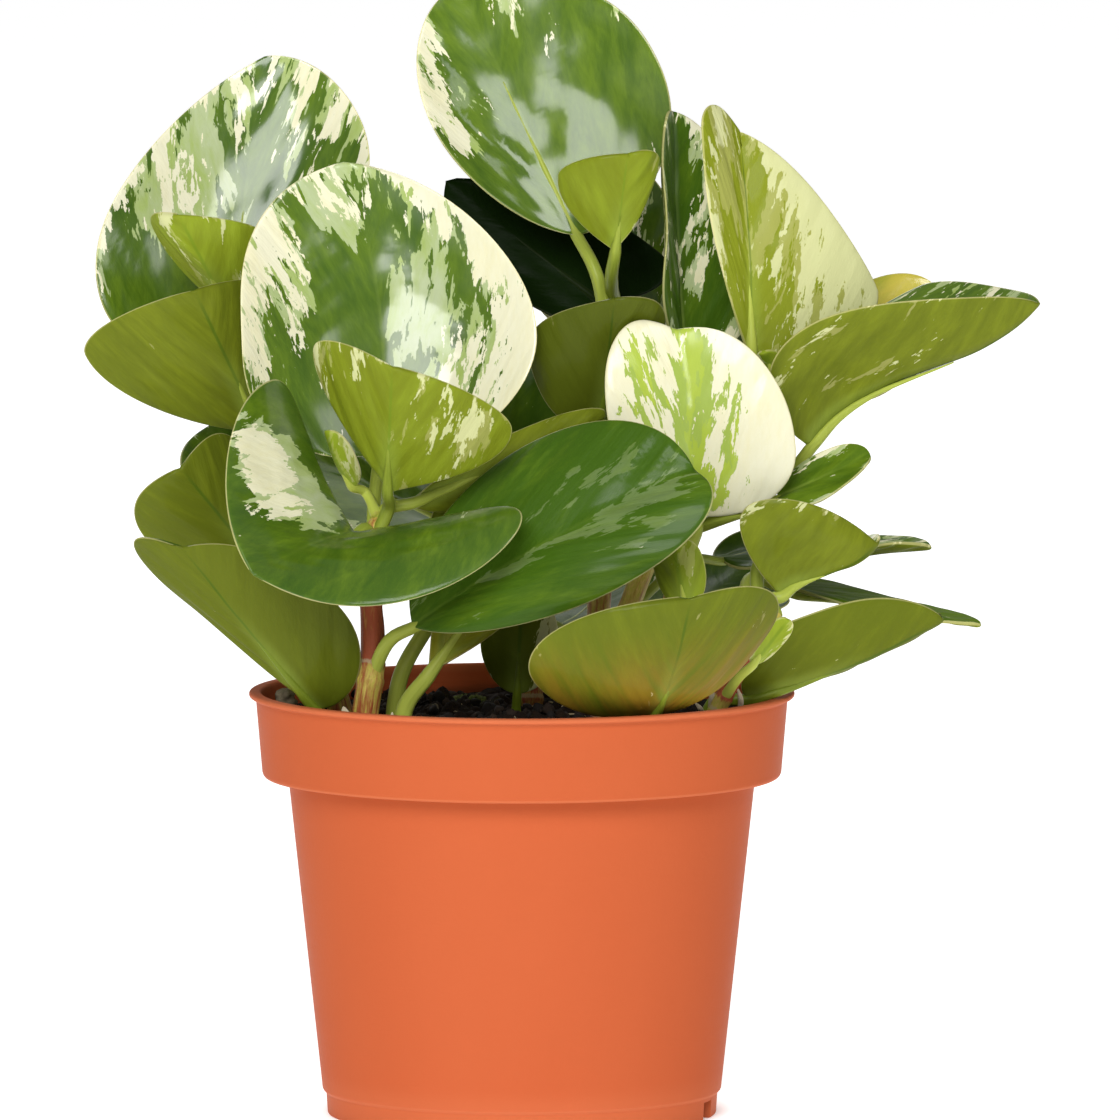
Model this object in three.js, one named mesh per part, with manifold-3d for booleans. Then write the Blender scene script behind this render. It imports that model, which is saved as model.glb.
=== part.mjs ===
// Variegated peperomia in a 12 cm nursery pot: pot, soil, seven stems and their leaves.
// Millimetres, +Z up. The origin is the pot's axis at the surface it stands on, the front is -Y.

import * as THREE from 'three';
import { mergeVertices } from 'three/addons/utils/BufferGeometryUtils.js';
import Module from 'manifold-3d';

const wasm = await Module();
wasm.setup();

// Driving dimensions of the pot
const POT_HEIGHT = 93.4;
const LIP_RADIUS = 60;
const COLLAR_TOP_RADIUS = 58.5;
const COLLAR_FOOT_RADIUS = 57;
const COLLAR_HEIGHT = 18.8;
const BODY_TOP_RADIUS = 51.4;
const BODY_FOOT_RADIUS = 43.9;
const FOOT_HEIGHT = 5.4;
const FOOT_RADIUS = 42.8;
const WALL = 1.2;
const FLOOR_THICKNESS = 1.8;
const FOOT_WALL = 1.6;
const LIP_THICKNESS = 1.2;
const PAD_RADIUS = 8;
const BEVEL = 0.4;
const STEP_BEVEL = 0.6;
const INSIDE_ROUND = 0.8;
const POT_SIDES = 40;
const SLOT_ANGLES = [-18, 42, 102, 162];
const SLOT_WIDTH = 5;
const SLOT_HEIGHT = 3.9;
const SLOT_IN_WALL = [FOOT_RADIUS - 6, FOOT_RADIUS + 4, SLOT_HEIGHT];
const SLOT_IN_FLOOR = [FOOT_RADIUS - 6, FOOT_RADIUS - 2.4, FOOT_HEIGHT + 2];

// Driving dimensions of the plant
const SOIL_LEVEL = 87;
const SOIL_RINGS = 5;
const SOIL_WAVES = { slow: 0.9, short: 0.5 };
const CLEARANCE = 0.3;
const BLADE_THICKNESS = 1.25;
const MARGIN_THICKNESS = 0.75;
const BLADE_ROWS = 8;
const SMALL_BLADE_ROWS = 6;
const BLADE_COLUMNS = 4;
const STEM_SIDES = 8;
const STEM_STEPS = 6;
const STALK_SIDES = 5;
const STALK_STEPS = 4;
const STALK_SHARES = [1, 0.95, 0.85, 0.4];
const SMALL_STALK = 0.75;
const STALK_ENTRY = 0.35;

// Colours of the pieces
const POT_COLOR = 0xd9683f;
const SOIL_COLOR = 0x241a14;
const STEM_COLOR = 0x8a8a3c;
const LEAF_COLORS = { green: 0x4f7a2c, cream: 0xb4ba78, young: 0x9db45a };

// Stems: centre points from the buried end to the growing tip, and the radius at both ends
const STEMS = {
  front: { path: [[-34, -26, 63], [-34.2, -27, 90], [-32.5, -26.5, 104], [-33, -25, 118],
    [-31.5, -23, 134]], radius: [3.5, 2.1] },
  left: { path: [[-36, -8, 63], [-40, -6, 90], [-50, 1, 122], [-58, 7, 150], [-64, 9, 172]],
    radius: [3.0, 1.9] },
  top: { path: [[15, 15, 63], [16, 14, 92], [18, 13, 132], [20, 11, 180]],
    radius: [3.0, 2.0] },
  right: { path: [[17, -4, 63], [18, -3, 90], [27, -1, 121], [39, 2, 143], [50, 5, 164]],
    radius: [2.8, 1.9] },
  middle: { path: [[29, -22, 63], [30, -23, 90], [32, -21, 112], [37, -16, 128]],
    radius: [2.7, 1.9] },
  back: { path: [[0, 27, 63], [2, 30, 90], [-2, 37, 122], [-8, 43, 146]],
    radius: [2.8, 1.9] },
  low: { path: [[35, -21, 63], [42, -27, 90], [49, -28, 103], [56, -27, 114]],
    radius: [2.2, 1.5] },
};

// Leaves. base is where the blade meets its stalk, tip the far end of the midrib, left and right the
// widest points of both wings, seen from the glossy upper side with the tip away. bow lifts the
// midrib's middle along the upper side's normal, wave lifts its first half and drops the second, and
// sway moves its middle to the right. The pairs are for the left and right wings: bulge lifts a wing
// between midrib and margin, warp turns it up towards the tip, widest is where it is widest along the
// midrib, taper sharpens it to the base and full squares it to the tip. notch dents the tip. A stalk
// starts on a stem, or at its root in the soil.
const USUAL_LEAF = { tone: 'green', bow: -1, wave: 0, sway: 0, bulge: [-2, -2], warp: [0, 0],
  widest: [0.5, 0.5], taper: [0.5, 0.5], full: [2.2, 2.2], notch: 0, stalk: 1.6, small: false };
const LEAVES = [
  { name: 'leaf_left_back_big', tone: 'cream', stem: 'left', at: 0.93, base: [-65, 15, 172],
    tip: [-57, 30, 231], left: [-93, 12, 187], right: [-34, 16, 205], bow: -2, bulge: [-3, -3],
    widest: [0.5, 0.42], full: [2.1, 1.7] },
  { name: 'leaf_left_young', tone: 'young', stem: 'left', at: 0.98, base: [-64, 3, 178],
    tip: [-75, -6, 199], left: [-55, 0, 193], right: [-81, 1, 196], bulge: [-1, -1],
    widest: [0.7, 0.75], taper: [0.7, 0.7], full: [2, 2] },
  { name: 'leaf_left_side', stem: 'left', at: 0.66, base: [-58, 1, 151], tip: [-72, -15, 183],
    left: [-49, 6, 177], right: [-95.5, -10, 169], bow: -2, widest: [0.6, 0.6], taper: [0.6, 0.75],
    full: [2.2, 1.6] },
  { name: 'leaf_left_low', stem: 'left', at: 0.4, base: [-55, -4, 118], tip: [-75, -15, 144],
    left: [-61, -3, 146], right: [-83.5, -9, 129], widest: [0.6, 0.6], taper: [0.6, 0.6],
    full: [2.4, 2] },
  { name: 'leaf_left_rim', root: [-41, -17, 74], base: [-44.5, -24, 92], tip: [-73.6, -36, 129],
    left: [-39, -31, 114], right: [-81, -28, 124.5], bow: -0.5, widest: [0.5, 0.75],
    taper: [0.6, 1.4], full: [2.4, 2.4], notch: 0.03, bulge: [-2, -1] },
  { name: 'leaf_front_back_big', tone: 'cream', stem: 'front', at: 0.75, base: [-31, -13, 147],
    tip: [-39, 0, 210], left: [-61, -20, 170], right: [2.5, -14, 174], bow: -2, sway: 4,
    bulge: [-3, -3], widest: [0.45, 0.45] },
  { name: 'leaf_front_young', tone: 'young', stem: 'front', at: 0.93, base: [-29, -29, 140],
    tip: [-28, -43, 169], left: [-2, -35, 154], right: [-45, -35, 171.5], widest: [0.72, 0.72],
    taper: [1.4, 1.5], full: [2, 2], notch: 0.03 },
  { name: 'leaf_front_folded', stem: 'front', at: 0.77, base: [-36, -31, 131.5],
    tip: [-57.5, -69, 126], left: [-3, -48, 130.5], right: [-55, -36, 165], bow: 2,
    bulge: [-2, -3], warp: [-35, 0], widest: [0.5, 0.35], taper: [0.5, 0.2] },
  { name: 'leaf_front_bud', tone: 'young', stem: 'front', at: 1, base: [-36, -20, 141],
    tip: [-42, -26, 153.5], left: [-36, -26, 148], right: [-40.5, -20, 147], bulge: [0, 0],
    widest: [0.6, 0.6], taper: [0.8, 0.8], small: true },
  { name: 'leaf_front_inner', stem: 'front', at: 0.85, base: [-25, -21, 137], tip: [18, -9, 155],
    left: [-3, -11, 138], right: [-1.5, -14, 151.5], bulge: [-1, -1], taper: [0.7, 0.7] },
  { name: 'leaf_front_dark', stem: 'front', at: 0.5, base: [-24, -32, 111], tip: [37.5, -38, 146],
    left: [-1, -22, 149], right: [22, -46, 121], bow: 3, bulge: [2, 2], full: [1.9, 2.2] },
  { name: 'leaf_centre_low_back', root: [-29, -14, 76], base: [-21, -13, 108], tip: [-2, -4, 142],
    left: [2, -8, 124], right: [-18, -6, 136], bow: 0, bulge: [-1, -1], widest: [0.6, 0.6],
    taper: [1.2, 1.2], stalk: 1.9 },
  { name: 'leaf_centre_low_front', root: [-26, -21, 76], base: [-21, -22, 98], tip: [4, -19, 133],
    left: [5, -21, 119], right: [-13, -19, 131], bow: 0, bulge: [-1, -1], widest: [0.7, 0.7],
    taper: [1.3, 1.3], stalk: 2 },
  { name: 'leaf_top_big', stem: 'top', at: 0.85, base: [12, 12, 193], tip: [-14, 24, 247],
    left: [-19.5, 14, 217], right: [30, 17, 231], bow: -2, bulge: [-3, -3], widest: [0.55, 0.55],
    taper: [0.8, 0.55], full: [2, 2.3] },
  { name: 'leaf_top_young', tone: 'young', stem: 'top', at: 0.99, base: [20.5, 0, 190],
    tip: [23.5, -7, 212.5], left: [30, -3, 210], right: [8, -2, 207], widest: [0.8, 0.8],
    taper: [1.4, 1.4], notch: 0.03 },
  { name: 'leaf_top_dark', stem: 'top', at: 0.85, base: [17, 20, 178], tip: [-17, 38, 203],
    left: [-4, 24, 180], right: [30, 24, 188], widest: [0.5, 0.3], full: [2.2, 2.6] },
  { name: 'leaf_top_folded', tone: 'cream', stem: 'top', at: 0.8, base: [36, 10, 167],
    tip: [33.7, 14, 220], left: [30.8, 0, 198], right: [52, 16, 185], bulge: [0, -1],
    widest: [0.5, 0.4], taper: [0.5, 0.4], full: [2, 2] },
  { name: 'leaf_top_front', stem: 'top', at: 0.7, base: [17, 1, 151], tip: [20.3, -9, 181],
    left: [31, -3, 174], right: [2, -4, 170], widest: [0.65, 0.65], taper: [0.6, 0.6] },
  { name: 'leaf_right_upright', tone: 'cream', stem: 'right', at: 0.93, base: [50, 1, 167],
    tip: [47.3, 8, 216], left: [78, 4, 181], right: [39, -2, 217], bow: -2, bulge: [-2, 0],
    widest: [0.38, 0.82], taper: [0.6, 0.8], full: [1.25, 2.2], notch: 0.04 },
  { name: 'leaf_right_long', stem: 'right', at: 0.8, base: [62.5, -1, 148], tip: [113, -9, 180],
    left: [88, 13, 182], right: [64.5, -14, 176], bow: 0.5, bulge: [0, 0], widest: [0.5, 0.45],
    full: [1.35, 1.7], wave: 2.4 },
  { name: 'leaf_right_yellow', tone: 'young', stem: 'right', at: 0.97, base: [61, 17, 164],
    tip: [93, 23, 178], left: [76, 25, 181.5], right: [81, 20, 170], bow: 0, bulge: [0, 0],
    widest: [0.6, 0.6], small: true },
  { name: 'leaf_right_bud', tone: 'young', stem: 'right', at: 1, base: [55, -2, 165],
    tip: [53, -5, 169], left: [57, -2, 167.5], right: [52, -1, 166.5], bow: 0, bulge: [0, 0],
    small: true },
  { name: 'leaf_middle_cream', tone: 'cream', stem: 'middle', at: 0.97, base: [38, -13, 133],
    tip: [34, -10, 174], left: [18.5, -17, 157], right: [60, -17, 149], bow: 2, bulge: [1, 1],
    widest: [0.5, 0.45], full: [2.6, 2.4], notch: 0.05 },
  { name: 'leaf_middle_dark', stem: 'right', at: 0.6, base: [56, -11, 137.5], tip: [76.5, -8, 146],
    left: [65, -5, 146.5], right: [65, -15, 137], bow: 0, bulge: [0, 0] },
  { name: 'leaf_middle_young', tone: 'young', stem: 'middle', at: 0.66, base: [36, -30, 114],
    tip: [33, -33, 130], left: [40, -30, 124], right: [29, -29, 123], bow: 0, bulge: [0, 0],
    small: true },
  { name: 'leaf_low_arched', stem: 'low', at: 0.97, base: [56, -24, 117], tip: [77, -20, 128],
    left: [70, -13, 128], right: [51, -26, 137.5], bow: -1.2, wave: 1.4, bulge: [-1, -2],
    widest: [0.5, 0.45], taper: [0.5, 0.4] },
  { name: 'leaf_low_behind', stem: 'low', at: 0.88, base: [62, -8, 124], tip: [90, 0, 125.6],
    left: [74, 9, 127], right: [74, -12, 127], bow: 0, bulge: [0, 0], full: [2, 2] },
  { name: 'leaf_low_front', root: [28, -33, 74], base: [28.5, -42, 93], tip: [36.5, -64, 120.5],
    left: [55, -52, 116], right: [2, -58, 107], bow: -3, widest: [0.62, 0.62], taper: [0.6, 0.6],
    notch: 0.03 },
  { name: 'leaf_low_side', root: [40, -11, 76], base: [49, -16, 94], tip: [92, -18, 111.5],
    left: [72, -8, 103], right: [60, -24, 112], bow: -2, bulge: [-1, -1], widest: [0.5, 0.45],
    taper: [0.7, 0.6] },
  { name: 'leaf_low_dark', stem: 'low', at: 0.8, base: [60, -6, 117], tip: [101, -4, 108.7],
    left: [72, 10, 116.5], right: [76, -12, 113.5], bow: 0, bulge: [0, 0], widest: [0.4, 0.5],
    full: [2, 2] },
  { name: 'leaf_low_young', tone: 'young', stem: 'low', at: 0.6, base: [50, -33, 103],
    tip: [58, -35, 113], left: [57, -33, 107], right: [52, -35, 110], bow: 0, bulge: [0, 0],
    small: true },
  { name: 'leaf_soil_dark', root: [-1, 6, 76], base: [-1, 8, 92], tip: [0, 4, 115],
    left: [8, 8, 103], right: [-9, 8, 104], bow: 0, bulge: [0, 0], small: true },
  { name: 'leaf_back_left', stem: 'left', at: 0.8, base: [-65, 22, 158], tip: [-78, 60, 190],
    left: [-88, 42, 176], right: [-52, 46, 182], bow: -2 },
  { name: 'leaf_back_top', stem: 'top', at: 0.6, base: [22, 34, 166], tip: [14, 64, 210],
    left: [-4, 50, 190], right: [36, 50, 187], bow: -2 },
  { name: 'leaf_back_right', stem: 'right', at: 0.88, base: [54, 18, 160], tip: [60, 56, 192],
    left: [40, 38, 175], right: [73, 38, 177], bow: -2 },
  { name: 'leaf_back_upper', stem: 'back', at: 0.97, base: [-12, 48, 152], tip: [-30, 76, 194],
    left: [-46, 60, 170], right: [-4, 66, 180], bow: -2 },
  { name: 'leaf_back_centre', stem: 'back', at: 0.85, base: [0, 46, 140], tip: [26, 64, 164],
    left: [-4, 52, 158], right: [26, 58, 144], bow: -2 },
  { name: 'leaf_back_lower', stem: 'back', at: 0.7, base: [-14, 46, 124], tip: [-54, 66, 138],
    left: [-36, 66, 118], right: [-32, 54, 146], bow: -2 },
  { name: 'leaf_back_rim', stem: 'back', at: 0.5, base: [8, 42, 104], tip: [22, 80, 114],
    left: [-4, 64, 108], right: [31, 58, 112], bow: -2 },
  { name: 'leaf_back_low', stem: 'right', at: 0.45, base: [44, 14, 122], tip: [66, 34, 128],
    left: [48, 28, 126], right: [62, 14, 124], bow: -1, small: true },
  { name: 'leaf_back_left_rim', stem: 'left', at: 0.3, base: [-52, 8, 106], tip: [-77, 32, 116],
    left: [-66, 36, 108], right: [-66, 12, 117], bow: -2, small: true },
  { name: 'leaf_back_left_low', stem: 'left', at: 0.5, base: [-55, 18, 131], tip: [-66, 48, 150],
    left: [-74, 32, 138], right: [-48, 38, 146], bow: -2, small: true },
  { name: 'leaf_back_right_low', stem: 'right', at: 0.35, base: [34, 20, 110], tip: [50, 54, 116],
    left: [28, 40, 116], right: [57, 32, 108], bow: -2, small: true },
  { name: 'leaf_back_right_side', stem: 'right', at: 0.7, base: [66, 27, 158], tip: [96, 50, 170],
    left: [76, 46, 169], right: [85, 34, 160], bow: -2, small: true },
].map((leaf) => ({ ...USUAL_LEAF, ...leaf }));

// How far a Bezier handle stands off for the curve to stand off by one
const BOW_REACH = 4 / 3;
const WAVE_REACH = 2 * Math.sqrt(3);

const vector = (p) => new THREE.Vector3(...p);

function leafFrame(leaf) {
  const base = vector(leaf.base);
  const tip = vector(leaf.tip);
  const across = vector(leaf.right).sub(vector(leaf.left));
  const normal = across.clone().cross(tip.clone().sub(base)).normalize();
  const side = tip.clone().sub(base).normalize().cross(normal);
  const handle = (share, wave) => base.clone().lerp(tip, share)
    .addScaledVector(normal, BOW_REACH * leaf.bow + WAVE_REACH * wave)
    .addScaledVector(side, BOW_REACH * leaf.sway);
  const midrib = new THREE.CubicBezierCurve3(
    base, handle(1 / 3, leaf.wave), handle(2 / 3, -leaf.wave), tip);
  return { normal, midrib };
}

// Half-width of a wing at u, as a share of its widest: pointed to the base, round at the tip
function wingWidth(u, widest, taper, full) {
  if (u < widest) {
    return Math.pow(Math.max(0, 1 - (1 - u / widest) ** 2), taper);
  }
  return Math.max(0, 1 - ((u - widest) / (1 - widest)) ** full) ** (1 / full);
}

// A point of the blade's upper face: u runs from base to tip, v from the left margin to the right
function bladePoint(leaf, frame, u, v) {
  const wing = v < 0 ? 0 : 1;
  const widest = leaf.widest[wing];
  const reach = Math.abs(v) * wingWidth(u, widest, leaf.taper[wing], leaf.full[wing]);
  const along = u * (1 + leaf.notch * Math.sin(Math.PI * reach));
  const edge = vector(v < 0 ? leaf.left : leaf.right).sub(frame.midrib.getPoint(widest));
  const lift = 4 * leaf.bulge[wing] * reach * (1 - reach) + leaf.warp[wing] * (u - widest) * reach;
  return frame.midrib.getPoint(along).addScaledVector(edge, reach).addScaledVector(frame.normal, lift);
}

// The blade: upper and lower faces split into the same triangles, joined by a thin margin
function bladeGeometry(leaf) {
  const frame = leafFrame(leaf);
  const rows = leaf.small ? SMALL_BLADE_ROWS : BLADE_ROWS;
  const columns = BLADE_COLUMNS;
  const top = [];
  const reach = [];
  const put = (u, v) => {
    top.push(bladePoint(leaf, frame, u, v));
    reach.push(Math.abs(v));
  };
  put(0, 0);
  for (let row = 1; row < rows; row += 1) {
    const u = 0.5 - 0.5 * Math.cos(Math.PI * row / rows);
    for (let column = 0; column <= columns; column += 1) {
      put(u, 2 * column / columns - 1);
    }
  }
  put(1, 0);
  const width = columns + 1;
  const last = top.length - 1;
  const at = (row, column) => 1 + (row - 1) * width + column;
  const faces = [];
  for (let column = 0; column < columns; column += 1) {
    faces.push([0, at(1, column + 1), at(1, column)]);
    faces.push([last, at(rows - 1, column), at(rows - 1, column + 1)]);
    for (let row = 1; row < rows - 1; row += 1) {
      const [a, b] = [at(row, column), at(row, column + 1)];
      const [d, c] = [at(row + 1, column), at(row + 1, column + 1)];
      if (column < columns / 2) {
        faces.push([a, b, d], [b, c, d]);
      } else {
        faces.push([a, b, c], [a, c, d]);
      }
    }
  }
  const surface = new THREE.BufferGeometry().setFromPoints(top);
  surface.setIndex(faces.flat());
  surface.computeVertexNormals();
  const normals = surface.getAttribute('normal');
  const count = top.length;
  const bottom = top.map((point, i) => {
    const depth = THREE.MathUtils.lerp(BLADE_THICKNESS, MARGIN_THICKNESS, reach[i] ** 2);
    return point.clone().addScaledVector(new THREE.Vector3().fromBufferAttribute(normals, i), -depth);
  });
  const index = faces.flat();
  for (const [a, b, c] of faces) {
    index.push(a + count, c + count, b + count);
  }
  for (const column of [0, columns]) {
    const rim = [0];
    for (let row = 1; row < rows; row += 1) {
      rim.push(at(row, column));
    }
    rim.push(last);
    for (let i = 0; i + 1 < rim.length; i += 1) {
      const [a, b] = column === 0 ? [rim[i], rim[i + 1]] : [rim[i + 1], rim[i]];
      index.push(a, b, a + count, b, b + count, a + count);
    }
  }
  const blade = new THREE.BufferGeometry().setFromPoints([...top, ...bottom]);
  blade.setIndex(index);
  return blade;
}

// A closed tube along points, its radius running through the given values
function taperedTube(points, radii, sides, steps, extra = 0) {
  const curve = new THREE.CatmullRomCurve3(points.map((p) => (p.isVector3 ? p : vector(p))));
  const frames = curve.computeFrenetFrames(steps, false);
  const vertices = [];
  for (let step = 0; step <= steps; step += 1) {
    const share = step / steps;
    const slot = Math.min(share * (radii.length - 1), radii.length - 1.000001);
    const before = Math.floor(slot);
    const radius = THREE.MathUtils.lerp(radii[before], radii[before + 1], slot % 1) + extra;
    const centre = curve.getPointAt(share);
    for (let side = 0; side < sides; side += 1) {
      const angle = 2 * Math.PI * side / sides;
      vertices.push(centre.clone()
        .addScaledVector(frames.normals[step], radius * Math.cos(angle))
        .addScaledVector(frames.binormals[step], radius * Math.sin(angle)));
    }
  }
  const first = vertices.length;
  vertices.push(curve.getPointAt(0), curve.getPointAt(1));
  const index = [];
  for (let side = 0; side < sides; side += 1) {
    const next = (side + 1) % sides;
    for (let step = 0; step < steps; step += 1) {
      const [a, b] = [step * sides + side, step * sides + next];
      index.push(a, b, a + sides, b, b + sides, a + sides);
    }
    index.push(first, next, side);
    index.push(first + 1, steps * sides + side, steps * sides + next);
  }
  const tube = new THREE.BufferGeometry().setFromPoints(vertices);
  tube.setIndex(index);
  return tube;
}

// Solids and their joins and cuts
function solidOf(geometry) {
  const bare = geometry.clone();
  bare.deleteAttribute('normal');
  bare.deleteAttribute('uv');
  const merged = mergeVertices(bare, 1e-4);
  return new wasm.Manifold(new wasm.Mesh({
    numProp: 3,
    vertProperties: new Float32Array(merged.getAttribute('position').array),
    triVerts: new Uint32Array(merged.getIndex().array),
  }));
}

function geometryOf(solid) {
  const mesh = solid.getMesh();
  const geometry = new THREE.BufferGeometry();
  const corners = new Float32Array(mesh.vertProperties);
  geometry.setAttribute('position', new THREE.BufferAttribute(corners, 3));
  geometry.setIndex(new THREE.BufferAttribute(new Uint32Array(mesh.triVerts), 1));
  geometry.computeVertexNormals();
  return geometry;
}

const part = new THREE.Group();
part.name = 'potted_peperomia';

function addPiece(name, geometry, color, roughness) {
  const material = new THREE.MeshStandardMaterial({ color, roughness, metalness: 0 });
  const mesh = new THREE.Mesh(geometry, material);
  mesh.name = name;
  part.add(mesh);
}

// Pot: a stepped wall with a collar and a lip, a raised floor on a foot ring and a centre pad
function potSolid() {
  const collarFoot = POT_HEIGHT - COLLAR_HEIGHT;
  const floorUnder = FOOT_HEIGHT - FLOOR_THICKNESS;
  const profile = [
    [0, 0], [PAD_RADIUS, 0], [PAD_RADIUS + BEVEL, floorUnder],
    [FOOT_RADIUS - FOOT_WALL - BEVEL, floorUnder], [FOOT_RADIUS - FOOT_WALL, 0], [FOOT_RADIUS, 0],
    [FOOT_RADIUS + 0.5, FOOT_HEIGHT - BEVEL],
    [BODY_FOOT_RADIUS, FOOT_HEIGHT], [BODY_TOP_RADIUS, collarFoot],
    [COLLAR_FOOT_RADIUS - STEP_BEVEL, collarFoot], [COLLAR_FOOT_RADIUS, collarFoot + STEP_BEVEL],
    [COLLAR_TOP_RADIUS, POT_HEIGHT - LIP_THICKNESS - 0.2],
    [LIP_RADIUS - 0.3, POT_HEIGHT - LIP_THICKNESS], [LIP_RADIUS, POT_HEIGHT - LIP_THICKNESS + 0.3],
    [LIP_RADIUS, POT_HEIGHT - BEVEL], [LIP_RADIUS - BEVEL, POT_HEIGHT],
    [COLLAR_TOP_RADIUS - WALL + 0.2, POT_HEIGHT], [COLLAR_TOP_RADIUS - WALL, POT_HEIGHT - STEP_BEVEL],
    [COLLAR_FOOT_RADIUS - WALL, collarFoot + WALL], [BODY_TOP_RADIUS - WALL, collarFoot + WALL - 0.2],
    [BODY_FOOT_RADIUS - WALL, FOOT_HEIGHT + INSIDE_ROUND],
    [BODY_FOOT_RADIUS - WALL - INSIDE_ROUND, FOOT_HEIGHT],
    [0, FOOT_HEIGHT],
  ].map(([radius, height]) => new THREE.Vector2(radius, height));
  let pot = solidOf(new THREE.LatheGeometry(profile, POT_SIDES).rotateX(Math.PI / 2));
  for (const angle of SLOT_ANGLES) {
    for (const [from, to, height] of [SLOT_IN_WALL, SLOT_IN_FLOOR]) {
      const slot = new THREE.BoxGeometry(to - from, SLOT_WIDTH, height + 2)
        .translate((from + to) / 2, 0, height / 2 - 1)
        .rotateZ(THREE.MathUtils.degToRad(angle));
      pot = pot.subtract(solidOf(slot));
    }
  }
  return pot;
}

// Soil: fills the pot to an uneven top
function soilHeight(x, y) {
  return SOIL_LEVEL + SOIL_WAVES.slow * Math.sin(0.16 * x + 1.3) * Math.cos(0.13 * y)
    + SOIL_WAVES.short * Math.sin(0.41 * x - 0.33 * y);
}

function soilSolid() {
  const collarFoot = POT_HEIGHT - COLLAR_HEIGHT;
  const inner = WALL + CLEARANCE;
  const share = (SOIL_LEVEL - collarFoot) / COLLAR_HEIGHT;
  const topRadius = THREE.MathUtils.lerp(COLLAR_FOOT_RADIUS, COLLAR_TOP_RADIUS, share) - inner - 0.1;
  const profile = [
    [0, FOOT_HEIGHT + CLEARANCE], [BODY_FOOT_RADIUS - inner - 1.2, FOOT_HEIGHT + CLEARANCE],
    [BODY_FOOT_RADIUS - inner, FOOT_HEIGHT + 2], [BODY_TOP_RADIUS - inner, collarFoot + inner],
    [COLLAR_FOOT_RADIUS - inner - 0.2, collarFoot + inner],
  ];
  for (let ring = SOIL_RINGS; ring >= 0; ring -= 1) {
    profile.push([topRadius * ring / SOIL_RINGS, SOIL_LEVEL]);
  }
  const lathe = new THREE.LatheGeometry(profile.map(([r, z]) => new THREE.Vector2(r, z)), POT_SIDES)
    .rotateX(Math.PI / 2);
  const position = lathe.getAttribute('position');
  for (let i = 0; i < position.count; i += 1) {
    if (Math.abs(position.getZ(i) - SOIL_LEVEL) < 0.01) {
      position.setZ(i, soilHeight(position.getX(i), position.getY(i)));
    }
  }
  return solidOf(lathe);
}

// Stems
const stemCurve = (stem) => new THREE.CatmullRomCurve3(stem.path.map(vector));
const stemTube = (stem, extra = 0) =>
  taperedTube(stem.path, stem.radius, STEM_SIDES, STEM_STEPS, extra);

// Leaf: its blade fused with a stalk that runs on under the midrib as a keel
function stalk(leaf, extra = 0) {
  const { normal, midrib } = leafFrame(leaf);
  const size = leaf.small ? SMALL_STALK : 1;
  const start = leaf.stem ? stemCurve(STEMS[leaf.stem]).getPointAt(leaf.at) : vector(leaf.root);
  const base = midrib.getPoint(0);
  const entry = base.clone()
    .addScaledVector(midrib.getTangent(0), -STALK_ENTRY * start.distanceTo(base));
  const under = (u, depth) => midrib.getPoint(u).addScaledVector(normal, -depth);
  const points = [start, entry, under(0.02, 0.5), under(0.3, 0.7)];
  const radii = STALK_SHARES.map((share) => share * size * leaf.stalk);
  return taperedTube(points, radii, STALK_SIDES, STALK_STEPS, extra);
}

function leafSolid(leaf) {
  let solid = solidOf(bladeGeometry(leaf)).add(solidOf(stalk(leaf)));
  if (leaf.stem) {
    solid = solid.subtract(solidOf(stemTube(STEMS[leaf.stem], CLEARANCE)));
  }
  return solid.decompose().sort((a, b) => b.volume() - a.volume())[0];
}

let soil = soilSolid();
for (const [name, stem] of Object.entries(STEMS)) {
  soil = soil.subtract(solidOf(stemTube(stem, CLEARANCE)));
  addPiece(`stem_${name}`, stemTube(stem), STEM_COLOR, 0.5);
}
for (const leaf of LEAVES) {
  if (leaf.root) {
    soil = soil.subtract(solidOf(stalk(leaf, CLEARANCE)));
  }
  addPiece(leaf.name, geometryOf(leafSolid(leaf)), LEAF_COLORS[leaf.tone], 0.3);
}
addPiece('pot', geometryOf(potSolid()), POT_COLOR, 0.55);
addPiece('soil', geometryOf(soil), SOIL_COLOR, 0.95);

export default part;
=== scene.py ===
"""A potted variegated peperomia: leaves, stems, potting mix and terracotta-coloured nursery pot."""

import math

import bpy
import numpy as np
from bpy.props import FloatProperty, FloatVectorProperty, IntProperty, PointerProperty
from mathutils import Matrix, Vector


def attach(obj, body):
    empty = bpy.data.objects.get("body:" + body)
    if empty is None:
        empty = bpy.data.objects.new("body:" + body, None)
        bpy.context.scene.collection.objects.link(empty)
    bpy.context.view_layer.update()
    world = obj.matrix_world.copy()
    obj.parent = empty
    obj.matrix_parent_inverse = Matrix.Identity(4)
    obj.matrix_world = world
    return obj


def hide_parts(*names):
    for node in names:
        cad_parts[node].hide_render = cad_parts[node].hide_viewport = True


bl_info = {
    "name": "Potted Peperomia",
    "version": (1, 0, 0),
    "blender": (4, 5, 0),
    "location": "3D View > Sidebar > Peperomia",
    "description": "Builds the leaves, stems, soil and nursery pot of a variegated peperomia",
    "category": "Object",
}

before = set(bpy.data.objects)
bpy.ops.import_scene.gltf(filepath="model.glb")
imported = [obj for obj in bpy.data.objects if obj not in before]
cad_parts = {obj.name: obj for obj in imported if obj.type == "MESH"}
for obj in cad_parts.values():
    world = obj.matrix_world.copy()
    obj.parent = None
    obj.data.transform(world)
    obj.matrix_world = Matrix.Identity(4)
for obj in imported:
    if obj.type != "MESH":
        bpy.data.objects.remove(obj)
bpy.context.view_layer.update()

# The tables below are in millimetres, and the meshes in metres
MM = 0.001
# How far a Bezier handle stands off for the curve to stand off by one
BOW_REACH = 4 / 3
WAVE_REACH = 2 * math.sqrt(3)
# Points of a curve before it is cut into even steps
CURVE_STEPS = 400
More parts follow.
